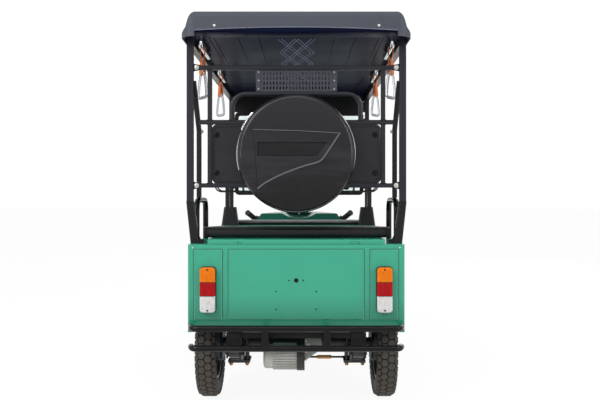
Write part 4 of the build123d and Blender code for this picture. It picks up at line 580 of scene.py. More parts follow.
class RICKSHAW_OT_stage(bpy.types.Operator):
    """Sets the camera behind the vehicle, a pale floor, a white surround and soft lamps."""

    bl_idname = "rickshaw.stage"
    bl_label = "Stage and Camera"

    def execute(self, context):
        scene = bpy.context.scene
        data = bpy.data.cameras.new("camera")
        data.lens = 42.6
        data.sensor_width = 36.0
        data.shift_x = -4 / 600
        data.shift_y = -3 / 600
        camera = bpy.data.objects.new("camera", data)
        scene.collection.objects.link(camera)
        camera.location = (0.034, -4.415, 0.951)
        camera.rotation_euler = (math.radians(90), 0, 0)
        scene.camera = camera
        scene.view_settings.view_transform = "Standard"

        world = bpy.data.worlds.new("surround")
        scene.world = world
        world.use_nodes = True
        tree = world.node_tree
        back = tree.nodes["Background"]
        back.inputs["Color"].default_value = (0.93, 0.96, 1.0, 1.0)
        back.inputs["Strength"].default_value = 0.5
        white = tree.nodes.new("ShaderNodeBackground")
        white.inputs["Color"].default_value = (1.0, 1.0, 1.0, 1.0)
        white.inputs["Strength"].default_value = WHITE
        mix = tree.nodes.new("ShaderNodeMixShader")
        tree.links.new(seen_rays(tree), mix.inputs[0])
        tree.links.new(back.outputs[0], mix.inputs[1])
        tree.links.new(white.outputs[0], mix.inputs[2])
        tree.links.new(mix.outputs[0], tree.nodes["World Output"].inputs[0])

        bm = bmesh.new()
        bmesh.ops.create_circle(bm, cap_ends=True, segments=96, radius=60.0)
        mesh = bpy.data.meshes.new("floor")
        bm.to_mesh(mesh)
        bm.free()
        floor = bpy.data.objects.new("floor", mesh)
        scene.collection.objects.link(floor)
        material = bpy.data.materials.new("pale floor")
        material.use_nodes = True
        tree = material.node_tree
        shader = tree.nodes["Principled BSDF"]
        shader.inputs["Roughness"].default_value = 0.75
        place = tree.nodes.new("ShaderNodeTexCoord").outputs["Object"]
        tone = effect(tree, "mottle", Vector=place, Color=rgb(236, 236, 236), Scale=0.6, Amount=0.01)
        tree.links.new(tone.outputs["Color"], shader.inputs["Base Color"])
        glow = tree.nodes.new("ShaderNodeEmission")
        glow.inputs["Color"].default_value = (1.0, 1.0, 1.0, 1.0)
        glow.inputs["Strength"].default_value = WHITE
        mix = tree.nodes.new("ShaderNodeMixShader")
        tree.links.new(maths(tree, "MULTIPLY", seen_rays(tree), FLOOR_GLOW), mix.inputs[0])
        tree.links.new(shader.outputs[0], mix.inputs[1])
        tree.links.new(glow.outputs[0], mix.inputs[2])
        tree.links.new(mix.outputs[0], tree.nodes["Material Output"].inputs[0])
        mesh.materials.append(material)

        add_lamp("key", (-3.4, -4.6, 4.4), (0, -0.6, 0.9), 150, 3.2)
        add_lamp("fill", (4.2, -3.6, 2.2), (0, -0.8, 0.8), 44, 3.0)
        add_lamp("left strip", (-3.0, -3.9, 2.3), (0, -1.3, 1.0), 26, 0.22, 2.6)
        add_lamp("right strip", (3.1, -3.7, 2.5), (0, -1.3, 1.1), 26, 0.22, 2.6)
        add_lamp("top strip", (0.0, -3.6, 4.4), (0, -1.3, 1.2), 24, 2.8, 0.25)
        add_lamp("front", (2.6, 5.2, 3.6), (0, 0.8, 0.8), 70, 3.0)
        return {"FINISHED"}


# ---- Finishes -----------------------------------------------------------------
def lamp_bands(tree, place):
    """Amber over red over clear, by height."""
    colours = bpy.context.scene.rickshaw_colours
    parts = split(tree, place)
    upper = maths(tree, "GREATER_THAN", parts["Z"], 0.582)
    lower = maths(tree, "LESS_THAN", parts["Z"], 0.522)
    both = mix_colour(tree, upper, tuple(colours.red), tuple(colours.amber))
    return mix_colour(tree, lower, both, tuple(colours.clear))


def paint_shaded_foot(tree, place):
    """Body paint deepened by painted shade towards the foot of the box."""
    colours = bpy.context.scene.rickshaw_colours
    parts = split(tree, place)
    share = remap(tree, parts["Z"], 0.32, 0.52)
    # Painted shade: a deep teal copy of the paint, full at 0.32 m and gone by 0.52 m.
    shade_tone = [value * shade for value, shade in zip(colours.panel, (0.22, 0.42, 0.38))] + [1.0]
    return mix_colour(tree, share, tuple(shade_tone), tuple(colours.panel))


# The recess in the spare wheel's cover: its corners in X and Z from the cover's middle.
RECESS = ((-0.165, 0.045), (0.133, 0.045), (0.087, -0.013), (-0.167, -0.013))


def cover_shade_and_sheen(tree, place):
    """The spare wheel's cover: painted shade at its foot and in its recess, with painted sheens in level
    streaks across it.
    """
    colours = bpy.context.scene.rickshaw_colours
    parts = split(tree, place)
    share = remap(tree, parts["Z"], 0.93, 1.36)
    # Painted shade: the cover darkens towards its foot.
    shade_tone = [value * 0.16 for value in colours.cover[:3]] + [1.0]
    pale = [value * 2.6 for value in colours.cover[:3]] + [1.0]
    base = mix_colour(tree, share, tuple(shade_tone), tuple(colours.cover))
    # Painted sheens: pale level streaks that stand in for reflections.
    stretched = tree.nodes.new("ShaderNodeVectorMath")
    stretched.operation = "MULTIPLY"
    stretched.inputs[1].default_value = (1.6, 1.0, 9.0)
    tree.links.new(place, stretched.inputs[0])
    sheen = remap(tree, noise(tree, stretched.outputs[0], 1.0, 3.0), 0.5, 0.72, 0.0, 0.55)
    lit = mix_colour(tree, sheen, base, tuple(pale))
    # Painted shade in the recess: it is darkened nearly to black.
    (_, high), (top_x, _), (foot_x, low), (left, _) = RECESS
    lean = (top_x - foot_x) / (high - low)
    slant = maths(tree, "MULTIPLY_ADD", parts["Z"], -lean, parts["X"])
    inside = maths(tree, "GREATER_THAN", parts["Z"], COVER_Z + low)
    for operation, value, limit in (("LESS_THAN", parts["Z"], COVER_Z + high),
                                    ("GREATER_THAN", parts["X"], left),
                                    ("LESS_THAN", slant, foot_x - lean * (COVER_Z + low))):
        inside = maths(tree, "MULTIPLY", inside, maths(tree, operation, value, limit))
    return mix_colour(tree, maths(tree, "MULTIPLY", inside, 0.75), lit, rgb(5, 5, 7))


def band_shaded_below(tree, place):
    """Bright steel over the top of the spare wheel, darkened underneath as painted shade so that it shows no
    reflection there.
    """
    parts = split(tree, place)
    share = remap(tree, parts["Z"], 1.06, 1.17)
    return mix_colour(tree, share, rgb(44, 44, 47), rgb(214, 216, 220))


def cast_centre(tree, place):
    """Bare casting in the middle of the axle, dark paint on its tubes."""
    parts = split(tree, place)
    left = maths(tree, "GREATER_THAN", parts["X"], 0.037)
    right = maths(tree, "LESS_THAN", parts["X"], 0.118)
    middle = maths(tree, "MULTIPLY", left, right)
    return mix_colour(tree, middle, rgb(20, 21, 23), rgb(150, 150, 146))


class RICKSHAW_OT_finishes(bpy.types.Operator):
    """Makes the materials and gives every part of the frame its own."""

    bl_idname = "rickshaw.finishes"
    bl_label = "Finishes"

    def execute(self, context):
        colours = context.scene.rickshaw_colours
        # Body paint: painted shade at the tail's foot, with road dust low down.
        finish("body paint", tuple(colours.panel), (0.16, 0.3), 3.0, (2.5, 0.02), (0.6, 0.16),
               colour_from=paint_shaded_foot, Specular_IOR_Level=0.3, Coat_Weight=0.15, Coat_Roughness=0.06)
        # The nacelle's paint is a darker teal copy of the body paint: painted shade of the cab.
        finish("nacelle shaded paint", rgb(28, 108, 90), (0.16, 0.3), 3.0, (2.5, 0.04),
               Specular_IOR_Level=0.3, Coat_Weight=0.15, Coat_Roughness=0.06)
        # Painted shade for the tail's creases and a painted highlight for the edges beside them.
        finish("paint crease", rgb(24, 92, 74), (0.4, 0.55), 8.0, (6.0, 0.06))
        finish("paint edge", rgb(112, 196, 168), (0.2, 0.34), 8.0, (6.0, 0.04))
        finish("chassis paint", tuple(colours.chassis), (0.34, 0.55), 9.0, (7.0, 0.08), (0.6, 0.1),
               Specular_IOR_Level=0.2)
        finish("frame paint", tuple(colours.tube), (0.26, 0.42), 12.0, (9.0, 0.05), None,
               (900.0, 0.8, 0.00008), Specular_IOR_Level=0.25)
        finish("roof", tuple(colours.roof), (0.44, 0.56), 5.0, (3.0, 0.07), None,
               (1100.0, 0.8, 0.00004), Specular_IOR_Level=0.25)
        # The lining's strong mottle is painted reflection: light patches standing in for glints on the glossy
        # sheet.
        finish("lining", tuple(colours.lining), (0.3, 0.42), 2.2, (2.4, 0.22), None,
               (60.0, 1.0, 0.0004), Specular_IOR_Level=0.02)
        # The beads' light colour is partly their own and partly a painted sheen on the raised lines.
        finish("lining bead", rgb(122, 130, 166), (0.3, 0.45), 20.0, Specular_IOR_Level=0.1)
        # A light grey painted highlight for the roof's arched edge.
        finish("roof edge", rgb(96, 100, 112), (0.2, 0.34), 20.0, (6.0, 0.05))
        # The cover's colour holds painted shade and painted sheens; its dust is road dust.
        finish("cover", tuple(colours.cover), (0.09, 0.2), 6.0, (4.0, 0.08), (1.3, 0.05),
               (26.0, 1.0, 0.0008), colour_from=cover_shade_and_sheen, Specular_IOR_Level=0.25)
        # The band's lower half is painted dark as shade; only its top reflects.
        finish("band edge", rgb(214, 216, 220), (0.06, 0.16), 30.0, (20.0, 0.02),
               colour_from=band_shaded_below, Metallic=1.0)
        # A lighter grey painted highlight for the fin's edge bead.
        finish("cover edge", rgb(84, 85, 90), (0.06, 0.14), 9.0, (5.0, 0.05))
        finish("back panel", tuple(colours.backing), (0.28, 0.42), 6.0, (7.0, 0.14), (1.5, 0.05),
               (560.0, 0.7, 0.0003), Specular_IOR_Level=0.25)
        finish("gloss black", rgb(7, 7, 9), (0.08, 0.2), 8.0, (5.0, 0.04), (0.5, 0.03),
               Specular_IOR_Level=0.2)
        finish("stainless", rgb(205, 209, 216), (0.14, 0.3), 40.0, (20.0, 0.02), Metallic=1.0)
        finish("chrome", rgb(214, 216, 220), (0.05, 0.14), 30.0, (20.0, 0.01), Metallic=1.0)
        finish("zinc", rgb(196, 198, 190), (0.25, 0.42), 60.0, (30.0, 0.05), Metallic=0.9)
        finish("brass bolt", rgb(176, 128, 74), (0.3, 0.5), 60.0, (30.0, 0.08), (0.6, 0.3), Metallic=0.85)
        finish("vinyl", tuple(colours.vinyl), (0.3, 0.44), 5.0, (4.0, 0.05), None,
               (620.0, 0.6, 0.0003), Specular_IOR_Level=0.3, Sheen_Weight=0.04)
        finish("piping", rgb(18, 18, 20), (0.3, 0.45), 20.0, (9.0, 0.04), None, (900.0, 0.6, 0.0001))
        finish("thread", rgb(70, 70, 74), (0.6, 0.75), 80.0, (60.0, 0.08))
        finish("tyre rubber", tuple(colours.rubber), (0.62, 0.8), 14.0, (16.0, 0.07), (0.3, 0.03),
               (700.0, 0.8, 0.0002))
        finish("tyre lugs", tuple(colours.lugs), (0.7, 0.86), 18.0, (24.0, 0.12), (0.4, 0.15),
               (800.0, 0.8, 0.0003))
        finish("wheel paint", tuple(colours.wheel), (0.3, 0.46), 12.0, (8.0, 0.05), (0.5, 0.4),
               Metallic=0.5)
        finish("pressed mesh", rgb(62, 63, 70), (0.3, 0.46), 30.0, (12.0, 0.1), None,
               (900.0, 0.7, 0.00012), Specular_IOR_Level=0.3)
        finish("cast alloy", rgb(196, 196, 190), (0.42, 0.6), 40.0, (22.0, 0.1), (0.5, 0.2),
               (420.0, 0.7, 0.0003), Metallic=0.35)
        finish("axle paint", rgb(20, 21, 23), (0.32, 0.52), 18.0, (12.0, 0.08), (0.5, 0.2))
        finish("gear housing", rgb(150, 150, 146), (0.42, 0.6), 40.0, (16.0, 0.14), (0.5, 0.2),
               (420.0, 0.7, 0.0004), colour_from=cast_centre)
        finish("black plastic", rgb(17, 18, 21), (0.3, 0.46), 20.0, (8.0, 0.05), None,
               (900.0, 0.7, 0.00015), Specular_IOR_Level=0.22)
        finish("rubber", rgb(26, 26, 28), (0.6, 0.76), 20.0, (12.0, 0.06), None, (900.0, 0.7, 0.0002))
        finish("webbing", tuple(colours.webbing), (0.55, 0.7), 40.0, (40.0, 0.06))
        finish("grip plastic", rgb(232, 234, 238), (0.12, 0.26), 20.0, (20.0, 0.02),
               Transmission_Weight=0.55, IOR=1.45)
        finish("glass", rgb(228, 240, 236), (0.01, 0.03), 3.0, (2.0, 0.01), Transmission_Weight=1.0,
               IOR=1.48)
        finish("lamp bands", tuple(colours.red), (0.1, 0.22), 20.0, (90.0, 0.22), None,
               (420.0, 0.5, 0.0009), colour_from=lamp_bands, Specular_IOR_Level=0.15)
        finish("clear lens", rgb(236, 238, 240), (0.04, 0.1), 12.0, (8.0, 0.02), Transmission_Weight=0.6)
        finish("amber lens", tuple(colours.amber), (0.08, 0.16), 20.0, (9.0, 0.03), Coat_Weight=0.7)
        finish("battery case", rgb(46, 48, 54), (0.4, 0.55), 20.0, (8.0, 0.05), (0.8, 0.2))
        finish("floor mat", rgb(46, 48, 52), (0.6, 0.78), 16.0, (10.0, 0.08), (0.7, 0.3),
               (300.0, 0.6, 0.0003))
        finish("dark", rgb(12, 12, 14), (0.7, 0.85), 20.0, (9.0, 0.04))
        self.weave(finishes["webbing"])

        by_slot = {
            "panel": "body paint", "chassis": "chassis paint", "frame": "frame paint", "roof": "roof",
            "lining": "lining", "gloss_black": "gloss black", "stainless": "stainless",
            "vinyl": "vinyl", "tyre": "tyre rubber", "rim": "wheel paint", "steel": "zinc",
            "cast": "cast alloy", "axle_paint": "axle paint", "black_plastic": "black plastic",
            "webbing": "webbing", "grip_plastic": "grip plastic", "glass": "glass",
            "lamp_lens": "lamp bands", "lamp_clear": "clear lens", "amber_lens": "amber lens",
            "rubber": "rubber", "battery": "battery case",
        }
        by_node = {
            "spare_cover": "cover", "rear_back_panel": "back panel", "mesh_panel": "pressed mesh",
            "grab_rails": "chrome", "leaf_springs": "axle paint", "spring_clamps": "axle paint",
            "rear_axle": "gear housing",
            "handlebar": "chrome", "rear_bumper": "gloss black", "floor_pan": "floor mat",
            "nacelle": "nacelle shaded paint", "armrests": "gloss black", "side_braces": "frame paint",
        }
        for part in frame["record"]["subparts"]:
            node = frame["nodes"][part["node"]]
            chosen = finishes[by_node.get(part["node"], by_slot[part["material_slot"]])]
            for held in node.material_slots:
                held.material = chosen
        return {"FINISHED"}

    def weave(self, material):
        """Add woven ribs to the webbing's finish."""
        tree = material.node_tree
        place = tree.nodes.new("ShaderNodeTexCoord").outputs["Object"]
        woven = effect(tree, "weave", Vector=place, Pitch=2600.0)
        add_bump(tree, tree.nodes["Principled BSDF"], woven.outputs["Height"], 0.0004)


# ---- Roof and lining ----------------------------------------------------------
class RICKSHAW_OT_roof_trim(bpy.types.Operator):
    """Puts screws, a rubber edge painted light grey as a highlight and the turned rear rim on the roof."""

    bl_idname = "rickshaw.roof_trim"
    bl_label = "Roof Trim"

    def execute(self, context):
        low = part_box("roof_shell")[0]
        bm = bmesh.new()
        add_screws(bm, (-0.352, 0.356), low.y, (1.688,), 0.0075, 0.004)
        for side in (-1, 1):
            for y in (-1.16, -0.72, -0.28, 0.16, 0.56):
                add_screw(bm, (side * 0.4775, y, 1.690), X * side, 0.0065, 0.0035)
        piece("roof_screws", bm, "zinc")

        # A soft rubber edge follows the arch of the back wall; its light grey is a painted highlight along
        # the arched edge.
        bm = bmesh.new()
        arch = []
        for step in range(29):
            share = step / 14 - 1
            arch.append((share * 0.437, low.y + 0.001, 1.6815 - 0.0128 * share * share))
        add_tube(bm, arch, 0.0024, 8)
        piece("rear_arch_edge", bm, "roof edge")

        # The rim under the rear of the roof, round-cornered where the lining starts.
        bm = bmesh.new()
        outer = rounded_outline(0.93, 0.10, 0.03)
        add_plate(bm, outer, (0, low.y + 0.060, 1.6615), X, Y, 0.0022, 0.001)
        for x in (-0.40, -0.31, -0.22, -0.075, 0.075, 0.22, 0.31, 0.40):
            add_screw(bm, (x, low.y + 0.055, 1.6622), -Z, 0.005, 0.0025)
        piece("rear_rim", bm, "lining")
        return {"FINISHED"}


class RICKSHAW_OT_lining(bpy.types.Operator):
    """Raises the lining's beads: its long seams and the double-line lattice down the middle."""

    bl_idname = "rickshaw.lining"
    bl_label = "Roof Lining"

    def execute(self, context):
        sizes = context.scene.rickshaw_sizes
        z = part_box("headliner")[0].z
        start, end = -1.262, 0.56
        bm = bmesh.new()
        width = sizes.bead
        for x in (0.168, 0.262, 0.372, 0.392):
            for side in (-1, 1):
                add_box(bm, (side * x - width / 2, start, z - 0.0016),
                        (side * x + width / 2, end, z + 0.0004), 0.0007)
        for y in (-0.56, 0.06):
            add_box(bm, (-0.45, y - width, z - 0.0014), (0.45, y + width, z + 0.0004), 0.0007)
        piece("lining_seams", bm, "lining")

        bm = bmesh.new()
        half = sizes.lattice_half
        pitch = sizes.lattice_pitch
        count = int((end - start - 0.06) / pitch)
        for number in range(count):
            first = start + 0.052 + number * pitch
            for way in (-1, 1):
                self.double_bead(bm, Vector((0, first, z)), Vector((way * half, first + pitch, z)), width)
                self.double_bead(bm, Vector((way * half, first, z)), Vector((0, first + pitch, z)), width)
        piece("lining_lattice", bm, "lining bead")
        return {"FINISHED"}

    def double_bead(self, bm, first, second, width):
        """Two thin beads side by side between two points of the lining."""
        run = second - first
        aside = Vector((-run.y, run.x, 0)).normalized() * 0.0085
        for offset in (-aside, aside):
            start, end = first + offset, second + offset
            matrix = Matrix.Translation((start + end) / 2) @ run.to_track_quat("Y", "Z").to_matrix().to_4x4()
            matrix = matrix @ Matrix.Diagonal((width, run.length, 0.0018, 1))
            bmesh.ops.create_cube(bm, size=1.0, matrix=matrix)


# ---- Seat frame and spare wheel -----------------------------------------------
class RICKSHAW_OT_frame_fixings(bpy.types.Operator):
    """Bolts the seat frame, the back panel and the braces to the posts."""

    bl_idname = "rickshaw.frame_fixings"
    bl_label = "Frame Fixings"

    def execute(self, context):
        sizes = context.scene.rickshaw_sizes
        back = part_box("seat_crossbars")[0].y
        bm = bmesh.new()
        for x in (-0.4495, 0.4495):
            for z in (1.533, 1.003):
                add_bolt(bm, (x, back, z), -Y, sizes.bolt, 0.007, 0.0115)
        for side in (-1, 1):
            add_bolt(bm, (side * 0.452, -1.0455, 1.262), -Y, 0.014, 0.006, 0.010)
            add_bolt(bm, (side * 0.464, -1.2085, 1.462), -Y, 0.014, 0.006, 0.010)
        piece("frame_bolts", bm, "zinc")

        panel_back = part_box("rear_back_panel")[0].y
        bm = bmesh.new()
        for x in (-0.3605, 0.3545):
            for z in (1.232, 1.060):
                add_round(bm, (x, panel_back + 0.001, z), (x, panel_back - 0.0022, z), 0.0135, 24, 0.001)
                add_screw(bm, (x, panel_back - 0.0016, z), -Y, 0.0085, 0.0045)
        piece("panel_bolts", bm, "gloss black")
        bm = bmesh.new()
        add_border(bm, "rear_back_panel", panel_back - 0.0002, 0.005, 0.020, 0.0032)
        piece("panel_piping", bm, "piping")

        bm = bmesh.new()
        add_screws(bm, (-0.17, 0.17), -1.2202, (1.437, 1.475, 1.513), 0.0038, 0.002)
        piece("mesh_screws", bm, "zinc")

        # Weld beads where the bars meet.
        bm = bmesh.new()
        for side in (-1, 1):
            for x, z, half in ((0.390, 1.523, 0.0115), (0.390, 1.298, 0.0115), (0.390, 1.278, 0.0115),
                               (0.390, 1.013, 0.0115), (0.289, 1.298, 0.0125)):
                self.weld(bm, (side * x, SEAT_FRAME_Y, z), half)
        piece("frame_welds", bm, "frame paint")
        return {"FINISHED"}

    def weld(self, bm, at, half):
        """A ring of small beads round a joint of two bars."""
        at = Vector(at)
        ring = [(-half, -half), (half, -half), (half, half), (-half, half)]
        for (x0, y0), (x1, y1) in zip(ring, ring[1:] + ring[:1]):
            for step in range(5):
                share = step / 5
                place = at + Vector((x0 + (x1 - x0) * share, y0 + (y1 - y0) * share, 0))
                bmesh.ops.create_icosphere(bm, subdivisions=1, radius=0.0024,
                                           matrix=Matrix.Translation(place))


class RICKSHAW_OT_spare_band(bpy.types.Operator):
    """Closes the stainless band round the spare wheel's cover with its over-centre clasp."""

    bl_idname = "rickshaw.spare_band"
    bl_label = "Spare Wheel Band"

    def execute(self, context):
        low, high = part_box("spare_band")
        centre = (low + high) / 2
        radius = (high.x - low.x) / 2
        bm = bmesh.new()
        for y in (low.y + 0.002, high.y - 0.002):
            edge = ring_points((centre.x, y, centre.z), radius + 0.0022, Y, 112)
            add_tube(bm, edge, 0.0028, 8, closed=True)
        piece("band_edges", bm, "band edge")

        bm = bmesh.new()
        for start, end, lift in ((136, 146, 0.004), (148, 157, 0.004), (137, 156, 0.009)):
            wide = 0.0085 if lift < 0.006 else 0.0035
            rail = arc_points(centre, radius + lift, start, end, 8)
            for shift in (-wide, wide):
                add_tube(bm, [point + Y * shift for point in rail], 0.0022, 8)
        for degrees in (137, 146, 148, 156):
            place = arc_points(centre, radius + 0.0045, degrees, degrees)[0]
            add_round(bm, place - Y * 0.012, place + Y * 0.012, 0.0034, 12, 0.0006)
        half = Vector((0.014, 0.0085, 0.0022))
        for degrees in (141.5, 152):
            place = arc_points(centre, radius + 0.003, degrees, degrees)[0]
            add_box(bm, place - half, place + half, 0.001, 2, (90 - degrees, "Y"))
        # Bright arcs of the band, which stands proud of the cover at each side.
        for start, end, thick in ((160, 196, 0.0055), (-12, 40, 0.0035)):
            add_tube(bm, arc_points(centre, radius + 0.003, start, end, 24), thick, 10)
        piece("band_clasp", bm, "chrome")

        # A lip runs round the recess, which stays bare.
        bm = bmesh.new()
        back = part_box("spare_cover")[0].y
        add_tube(bm, [(x, back + 0.0006, COVER_Z + z) for x, z in RECESS], 0.0022, 8, closed=True)
        piece("recess_lip", bm, "gloss black")

        # A rounded bead follows the raised fin's edge, boldest along its lower sweep; its lighter grey is a
        # painted highlight.
        top = [(-0.186, 0.099), (0.0, 0.094), (0.189, 0.084)]
        sweep = smooth_run([Vector((x, z)) for x, z in (
            (0.189, 0.084), (0.127, -0.011), (0.103, -0.041), (0.034, -0.057), (-0.066, -0.095),
            (-0.130, -0.128), (-0.167, -0.156))], 2)
        bm = bmesh.new()
        add_tube(bm, [(x, back + 0.0012, COVER_Z + z) for x, z in sweep], 0.0042, 10)
        add_tube(bm, [(x, back + 0.0012, COVER_Z + z) for x, z in top], 0.0020, 8)
        piece("fin_edge", bm, "cover edge")
        return {"FINISHED"}


# ---- Tyres and wheels ---------------------------------------------------------
# Each wheel's name, body, tyre node, rim node, centre, and the sides its hub shows.
WHEELS = (
    ("front", "front_wheel", "front_tyre", "front_rim",
     Vector((0.0, FRONT_WHEEL_Y, WHEEL_Z)), (-1, 1)),
    ("rear_left", "rear_left_wheel", "rear_tyre_left", "rear_rim_left",
     Vector((-HALF_TRACK, AXLE_Y, WHEEL_Z)), (-1,)),
    ("rear_right", "rear_right_wheel", "rear_tyre_right", "rear_rim_right",
     Vector((HALF_TRACK, AXLE_Y, WHEEL_Z)), (1,)),
)


class RICKSHAW_OT_tyres(bpy.types.Operator):
    """Spins each tyre's casing and sets two rows of six-sided lugs and the shoulder lugs on it."""

    bl_idname = "rickshaw.tyres"
    bl_label = "Tyres"

    def execute(self, context):
        sizes = context.scene.rickshaw_sizes
        for name, body, tyre, _, centre, _ in WHEELS:
            piece(f"{name}_casing", self.casing(centre, sizes), "tyre rubber", body, 40, (tyre,))
            piece(f"{name}_lugs", self.lugs(centre, sizes), "tyre lugs", body, 25)
        return {"FINISHED"}

    def casing(self, centre, sizes):
        """The tyre without its lugs, with a rim guard and two fine rings on each wall."""
        crown = WHEEL_RADIUS - sizes.lug_height
        half = [
            (0.0, crown), (0.020, crown - 0.0004), (0.032, crown - 0.003), (0.0395, crown - 0.008),
            (0.0435, crown - 0.018), (0.0452, crown - 0.028), (0.0444, crown - 0.029),
            (0.0446, crown - 0.032), (0.0456, crown - 0.033), (0.0456, 0.205), (0.0448, 0.204),
            (0.0448, 0.201), (0.0456, 0.200), (0.0448, 0.192), (0.0425, 0.184), (0.0405, 0.181),
            (0.0410, 0.176), (0.0375, 0.172), (0.0335, 0.170), (0.0320, 0.160), (0.0240, 0.1596),
            (0.0240, 0.172), (0.0340, 0.190), (0.0360, 0.215), (0.0280, 0.230), (0.0, 0.2345),
        ]
        loop = half + [(-x, r) for x, r in reversed(half[1:-1])]
        bm = bmesh.new()
        verts = [bm.verts.new(centre + Vector((x, 0, radius))) for x, radius in loop]
        edges = [bm.edges.new((first, second)) for first, second in zip(verts, verts[1:] + verts[:1])]
        bmesh.ops.spin(bm, geom=verts + edges, cent=centre, axis=X, dvec=(0, 0, 0),
                       angle=2 * math.pi, steps=96, use_merge=True, use_duplicate=False)
        return bm

    def lugs(self, centre, sizes):
        """One pitch of tread, turned round the wheel."""
        bm = bmesh.new()
        turn = 2 * math.pi / sizes.lug_count
        length = WHEEL_RADIUS * turn
        half = sizes.lug_half
        for side in (-1, 1):
            shift = (0.25 if side > 0 else -0.25) * length
            hexagon = [(-half, 0), (-half * 0.52, -length * 0.455), (half * 0.52, -length * 0.455),
                       (half, 0), (half * 0.52, length * 0.455), (-half * 0.52, length * 0.455)]
            self.lug(bm, hexagon, centre, side * 0.0150, shift, sizes, 0.0)
            shoulder = [(-0.0085, -length * 0.40), (0.006, -length * 0.40), (0.006, length * 0.40),
                        (-0.0085, length * 0.40), (-0.0125, 0)]
            outline = [(side * x, y) for x, y in shoulder]
            if side < 0:
                outline.reverse()
            self.lug(bm, outline, centre, side * 0.0365, shift + length / 2, sizes, side * 24)
        source = list(bm.verts) + list(bm.edges) + list(bm.faces)
        for number in range(1, sizes.lug_count):
            copied = new_verts(bmesh.ops.duplicate(bm, geom=source))
            bmesh.ops.rotate(bm, verts=copied, cent=centre, matrix=Matrix.Rotation(number * turn, 3, "X"))
        return bm

    def lug(self, bm, outline, centre, x, along, sizes, lean):
        """A tapered block of rubber on the casing, its face rounded at the edges."""
        rise = sizes.lug_height + 0.0012
        foot = WHEEL_RADIUS - rise
        verts = [bm.verts.new((px, py, 0)) for px, py in outline]
        face = bm.faces.new(verts)
        face.normal_update()
        if face.normal.z < 0:
            face.normal_flip()
        raised = new_verts(bmesh.ops.extrude_face_region(bm, geom=[face]))
        bmesh.ops.translate(bm, verts=raised, vec=(0, 0, rise))
        bmesh.ops.scale(bm, verts=raised, vec=(0.94, 0.94, 1.0))
        rim = [edge for edge in {e for v in raised for e in v.link_edges}
               if all(v in raised for v in edge.verts)]
        bmesh.ops.bevel(bm, geom=rim, offset=0.001, offset_type="OFFSET", segments=1, profile=0.5,
                        affect="EDGES", clamp_overlap=True, material=-1)
        everything = list({vert for face in self.island(verts[0]) for vert in face.verts})
        drop = 0.0068 if lean else 0.0
        matrix = (
            Matrix.Translation(centre)
            @ Matrix.Rotation(-along / WHEEL_RADIUS, 4, "X")
            @ Matrix.Translation((x, 0, foot - drop))
            @ Matrix.Rotation(math.radians(lean), 4, "Y")
        )
        bmesh.ops.transform(bm, matrix=matrix, verts=everything)

    def island(self, vert):
        """Every face joined to a vertex."""
        found, queue = set(), list(vert.link_faces)
        while queue:
            face = queue.pop()
            if face not in found:
                found.add(face)
                queue += [near for edge in face.edges for near in edge.link_faces]
        return found


class RICKSHAW_OT_wheels(bpy.types.Operator):
    """Adds hub caps and valves to the wheels."""

    bl_idname = "rickshaw.wheels"
    bl_label = "Wheel Fittings"

    def execute(self, context):
        for name, body, _, rim, centre, sides in WHEELS:
            bm = bmesh.new()
            low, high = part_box(rim)
            for side in sides:
                face = high.x if side > 0 else low.x
                hub = Vector((face, centre.y, centre.z))
                add_round(bm, hub - X * side * 0.002, hub + X * side * 0.007, 0.021, 32, 0.003)
                add_round(bm, hub + X * side * 0.006, hub + X * side * 0.010, 0.012, 24, 0.0015)
            angle = math.radians(62)
            reach = Vector((0, math.cos(angle), math.sin(angle)))
            root = centre + reach * 0.146 + X * sides[-1] * 0.012
            add_round(bm, root, root + X * sides[-1] * 0.026 - reach * 0.010, 0.0032, 12, 0.0005)
            piece(f"{name}_wheel_fittings", bm, "zinc", body)
        return {"FINISHED"}


# ---- Padded seats -------------------------------------------------------------
# Each pad's node, rounding of its edges, drop below its space and largest swell.
PADS = (
    ("rear_cushion", 0.016, 0.020, 0.010), ("rear_backrest", 0.034, 0.016, 0.024),
    ("driver_cushion", 0.014, 0.046, 0.010), ("driver_backrest", 0.034, 0.016, 0.024),
)
SWELL_FRAMES = 20


